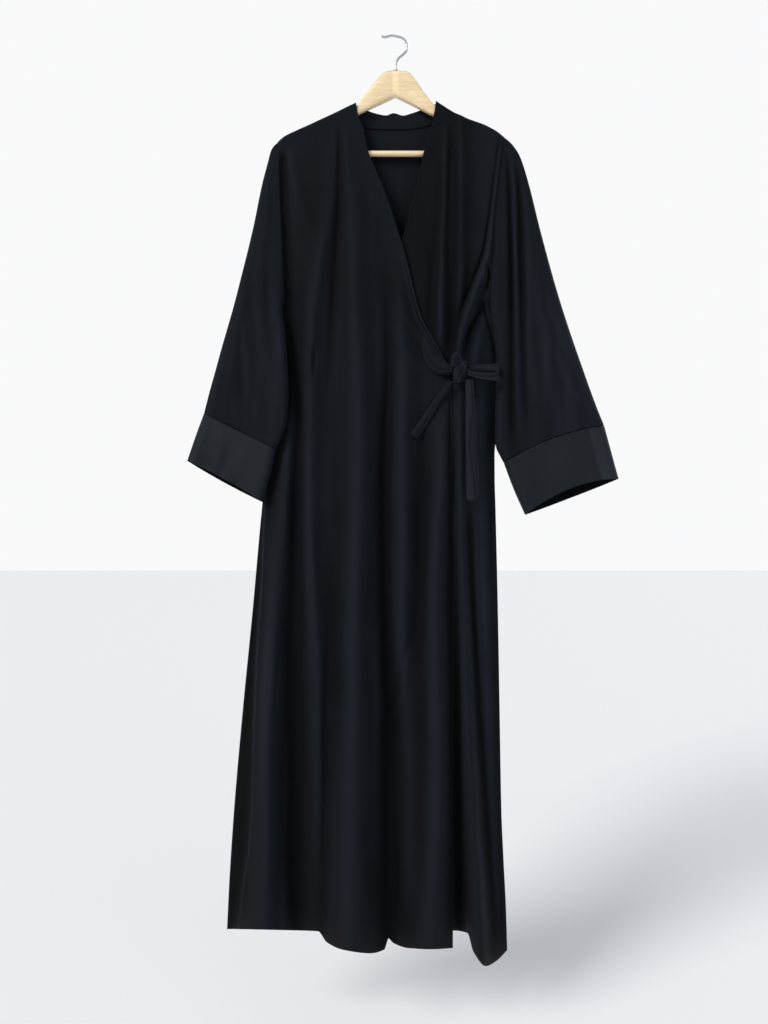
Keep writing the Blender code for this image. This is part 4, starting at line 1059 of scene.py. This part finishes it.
def ties(count=60, loop_count=90, fold_count=30):
    """The gathered corner, the bow's tails, its loop and a small fold, each with its solid and flat size."""
    s = np.linspace(0, 1, count)
    forward = np.tile([0.0, -1.0, 0.0], (count, 1))
    rightward = np.tile([1.0, 0.0, 0.0], (count, 1))
    upward = np.tile([0.0, 0.0, 1.0], (loop_count, 1))
    made = []
    path, width = along(TIE_BAND, count)
    path[:, 1] = -(over_height(path[:, 0], path[:, 2]) - 3.0 + 4.5 * s + 11.0 * s ** 3)
    made.append((strap("tie_band_cloth", path, sideways(path), forward, width, cup=7.5, groove=1.8,
                       turn=3.0, glow=0.02, tone=0.6), "tie_band", (0.02, 0.09)))
    path, width = along(TAIL_SHORT, count)
    path[:, 1] = -(over_height(path[:, 0], path[:, 2]) + TAIL_CLEAR + 10.0 * (1 - s) ** 3)
    made.append((strap("tie_tail_short_cloth", path, sideways(path), forward, width, cup=2.2, groove=0.4,
                       turn=5.0, glow=0.05, tone=0.7), "tie_tail_short", (0.0135, 0.12)))
    path, width = along(TAIL_LONG, count)
    made.append((strap("tie_tail_long_cloth", path, rightward, forward, width, cup=3.4, groove=1.0, turn=7.0,
                       glow=0.26), "tie_tail_long", (0.02, 0.21)))
    path, width = along(LOOP, loop_count)
    line = np.gradient(path, axis=0)
    face = unit(np.stack([line[:, 1], -line[:, 0], 0 * line[:, 0]], axis=1))
    made.append((strap("tie_loop_cloth", path, upward, face, width, cup=0.6, groove=0.7, turn=4.0, glow=0.26),
                 "tie_loop", (0.013, 0.115)))
    path, width = along(FOLD, fold_count)
    made.append((strap("tie_fold_cloth", path, sideways(path), forward[:fold_count], width, cup=1.2, groove=0.5,
                       turn=3.0, glow=0.05), None, (0.0105, 0.05)))
    return made


def knot():
    """The knot: an upright bundle whose girth falls off to both ends, wrapped by slanting folds of the strap."""
    v = np.linspace(-1, 1, 60)[:, None]
    turn = np.linspace(0, 2 * np.pi, 80, endpoint=False)[None, :]
    close = np.clip((1 - np.abs(v)) / 0.12, 0, 1) ** 0.5
    girth = np.sqrt(1 - 0.6 * v * v) * close
    wrap = 0.11 * np.cos(3 * turn + 0.8 + 3.0 * v) + 0.07 * np.cos(7 * turn - 4.0 * v)
    ripple = 1 + wrap
    x = 109 + 4 * v + 11.4 * girth * np.cos(turn) * ripple
    y = -37 + 9.0 * girth * np.sin(turn) * ripple
    z = -575 + 20 * v + 2.0 * np.sin(turn + 1.0) * girth
    middle = from_line([(106, -37, -595), (109, -37, -575), (112, -37, -555)])
    made = cloth_object("tie_knot_cloth", x, y, z, middle, True)
    # Painted shade and highlight: the ridges of the wrapping folds lighter and their hollows darker.
    mark(made, worn=0 * x + 0.1, crest=np.clip(0.7 + 3.0 * wrap, 0, 1) + 0 * x)
    return made


# Hanger edges as (x, top_z, low_z, half_depth)
HANGER = read("""-190 -179.5 -204 4.9, -187.5 -175.5 -211 7.2, -177 -169.5 -212 7.5, -176.9 -169.5 -191 7.5,
    -168 -164.5 -187 7.5, -133 -148 -170 7.5, -99 -135.8 -155 6.2, -72 -121.5 -137 6.2, -52.5 -96 -126.5 6.6,
    -35 -75 -118.5 7.5, -24 -63 -113.5 8.3, -15 -59 -109.3 8.8, -1.7 -58.5 -102.9 9, 15 -59 -111 8.8,
    24 -63 -115.5 8.3, 35 -76 -121 7.5, 51 -99 -129.5 6.6, 70 -121.5 -139 6.2, 97 -135.5 -156 6.6,
    121 -145.8 -168 7.5, 150 -156 -180 7.5, 163.9 -163 -190 7.5, 164 -163 -212 7.5, 172 -168 -212 7.3,
    174.5 -172 -209 4.9""")
HOOK = read("""0 -1 -58.7, 0.1 -1 -46, 0.17 3 -36, 0.27 12 -26, 0.36 17.6 -17, 0.44 18 -8, 0.52 14.6 -0.8,
    0.6 7 1.9, 0.68 -2 1.9, 0.76 -9.5 0.6, 0.84 -15.5 -2.2, 0.92 -20.5 -4.6, 1 -25.5 -4.2""")


def hanger_body():
    """The wooden arms: a rounded oblong section between the top and lower edge, station by station."""
    x = stations(np.linspace(-190, 174.5, 220), [-190, -177, -176.9, 163.9, 164, 174.5])
    x = np.concatenate([x[:1], x, x[-1:]])[:, None]
    close = np.ones_like(x)
    close[0] = 0.02
    close[-1] = 0.02
    turn = np.linspace(0, 2 * np.pi, 40, endpoint=False)[None, :]
    c = np.sign(np.cos(turn)) * np.abs(np.cos(turn)) ** 0.6
    s = np.sign(np.sin(turn)) * np.abs(np.sin(turn)) ** 0.6
    top = smooth(HANGER, 1, x)
    straight = np.interp(x, [row[0] for row in HANGER], [row[2] for row in HANGER])
    low = np.where(np.abs(x) < 52, straight, smooth(HANGER, 2, x))
    depth = smooth(HANGER, 3, x)
    grid = np.stack([x + 0 * turn, depth * c * close, (top + low) / 2 + (top - low) / 2 * s * close], axis=2)
    line = np.concatenate([x, 0 * x, (top + low) / 2], axis=1)
    made = grid_object("hanger_wood", grid, from_line(line), True)
    # Painted highlight on a narrow strip where the arms meet, and painted shade on the arm just past it toward lower x.
    facet = ease((x + 7) / 1.5) * ease((5 - x) / 1.5) - 0.35 * ease((x + 50) / 20) * ease((-7 - x) / 1.5)
    mark(made, facet=facet + 0 * turn)
    return made


def rod(name, path, radii, sides):
    """A round rod: rings of the given radius square to a path, closed at both ends."""
    path = np.asarray(path, float)
    radii = np.asarray(radii, float)
    line = unit(np.gradient(path, axis=0))
    side = unit(np.cross(line, np.array([0.0, 1.0, 0.0]) + 0 * line))
    other = np.cross(line, side)
    a = np.linspace(0, 2 * np.pi, sides, endpoint=False)[None, :, None]
    ring = np.cos(a) * side[:, None, :] + np.sin(a) * other[:, None, :]
    return grid_object(name, path[:, None, :] + radii[:, None, None] * ring, from_line(path), True)


def hanger_bar():
    """The trouser bar: a straight dowel with eased ends."""
    x = np.array([0, 0.1, 0.4, 1.0, 2.0, 60, 120, 170, 220, 280, 338.2, 339.2, 339.8, 340.1, 340.2]) + BAR_FROM
    r = np.array([0.1, 3.6, 4.4, 4.8, 5, 5, 5, 5, 5, 5, 5, 4.8, 4.4, 3.6, 0.1])
    return rod("hanger_dowel", np.stack([x, 0 * x, BAR_Z + 0 * x], axis=1), r, 40)


def hanger_hook():
    """The hook's wire, turned a little on its stem, with a rounded tip."""
    s = np.concatenate([[0, 0.0005], np.linspace(0.004, 0.994, 150), [0.996, 0.998, 0.9992, 1.0]])
    x = smooth(HOOK, 1, s)
    z = smooth(HOOK, 2, s)
    r = HOOK_WIRE / 2 * np.ones_like(s)
    r[0] = 0.05
    r[-4:] = HOOK_WIRE / 2 * np.array([0.95, 0.8, 0.5, 0.05])
    return rod("hanger_wire", np.stack([x, x * HOOK_SWIVEL, z], axis=1), r, 24)


def ferrule():
    """A small turned collar where the wire enters the wood."""
    z = np.array([-58.6, -58.4, -57.6, -57.0, -56.6, -56.0, -55.6, -55.4])
    r = np.array([0.1, 4.6, 4.9, 4.6, 3.4, 3.1, 2.6, 2.0])
    return rod("hanger_ferrule", np.stack([0 * z - 1, 0 * z - 0.45, z], axis=1), r, 32)


def place(made, material, thickness, cad, slot, inside=None):
    """Finishes a piece, fixes it to the body and hides the solid whose place it takes."""
    finish(made, material, thickness)
    # The shell's inner faces take a second material: for the cuffs, one near-black colour as painted shade.
    if inside:
        made.data.materials.append(inside)
        made.modifiers["thickness"].material_offset = 1
    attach(made, "root")
    if cad:
        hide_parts(cad)


def main():
    """Builds the camera, the stage, the materials and every piece."""
    camera()
    stage()
    crepe = crepe_group()
    black = cloth_material("black_crepe", crepe, CLOTH_SHADED, CLOTH_LIT, roughness=0.8, threads=1700.0,
                           pebble=0.8, bump=0.5, sheen=0.02, edge_light=0.8)
    blue = cloth_material("cuff_cloth", crepe, CUFF_SHADED, CUFF_LIT, roughness=0.62, threads=2400.0,
                          pebble=0.25, bump=0.25, sheen=0.03, edge_light=0.15)
    # Painted shade: the cuffs' inner faces in one near-black colour, for the shadow in their mouths.
    shade = plain_material("cuff_inside_painted_shade", CUFF_INSIDE_SHADE, 0.95)
    wood = wood_material()
    chrome = chrome_material()
    surface = back_surface()
    panels = [
        (front_right(), SHELL, "front_right", (0.50, 1.46), 0.50, "hanger_wood"),
        (front_left(), SHELL, "front_left", (0.38, 1.49), 0.37, "hanger_wood"),
        (back(surface), SHELL, "back", (0.55, 1.46), 0.60, "hanger_wood"),
        (neckband(surface), TRIM_SHELL, "neckband", (0.165, 0.027), None, "back_cloth"),
        (sleeve("sleeve_right_cloth", SLEEVE_RIGHT, ARMHOLE_RIGHT, INNER_RIGHT, -1, SLEEVE_RIGHT_FOLDS,
                SLEEVE_RIGHT_PAINTED_SHADE, bow=0.0, shift=0.7), SHELL, "sleeve_right", (0.29, 0.53), 0.092, "front_right_cloth"),
        (sleeve("sleeve_left_cloth", SLEEVE_LEFT, ARMHOLE_LEFT, INNER_LEFT, 1, SLEEVE_LEFT_FOLDS,
                SLEEVE_LEFT_PAINTED_SHADE, bow=11.0, shift=2.9), SHELL, "sleeve_left", (0.37, 0.56), 0.13, "front_left_cloth"),
        (cuff("cuff_right_cloth", CUFF_RIGHT, DENTS_RIGHT, fold_strip_highlight=0.0, shift=0.3), TRIM_SHELL, "cuff_right",
         (0.29, 0.095), None, "sleeve_right_cloth"),
        (cuff("cuff_left_cloth", CUFF_LEFT, DENTS_LEFT, fold_strip_highlight=0.3, shift=1.9), TRIM_SHELL, "cuff_left",
         (0.39, 0.098), None, "sleeve_left_cloth"),
    ]
    for made, thickness, cad, flat, area, rests in panels:
        if cad.startswith("cuff"):
            place(made, blue, thickness, cad, "cuff_cloth", shade)
        else:
            place(made, black, thickness, cad, "cloth")
    for made, cad, flat in ties():
        place(made, black, RIBBON, cad, "cloth")
        made.modifiers["thickness"].offset = 0
    place(knot(), black, None, "tie_knot", "cloth")
    place(hanger_body(), wood, None, "hanger_body", "wood")
    place(hanger_bar(), wood, None, "hanger_bar", "wood")
    place(hanger_hook(), chrome, None, "hanger_hook", "steel")
    place(ferrule(), chrome, None, None, "steel")


main()
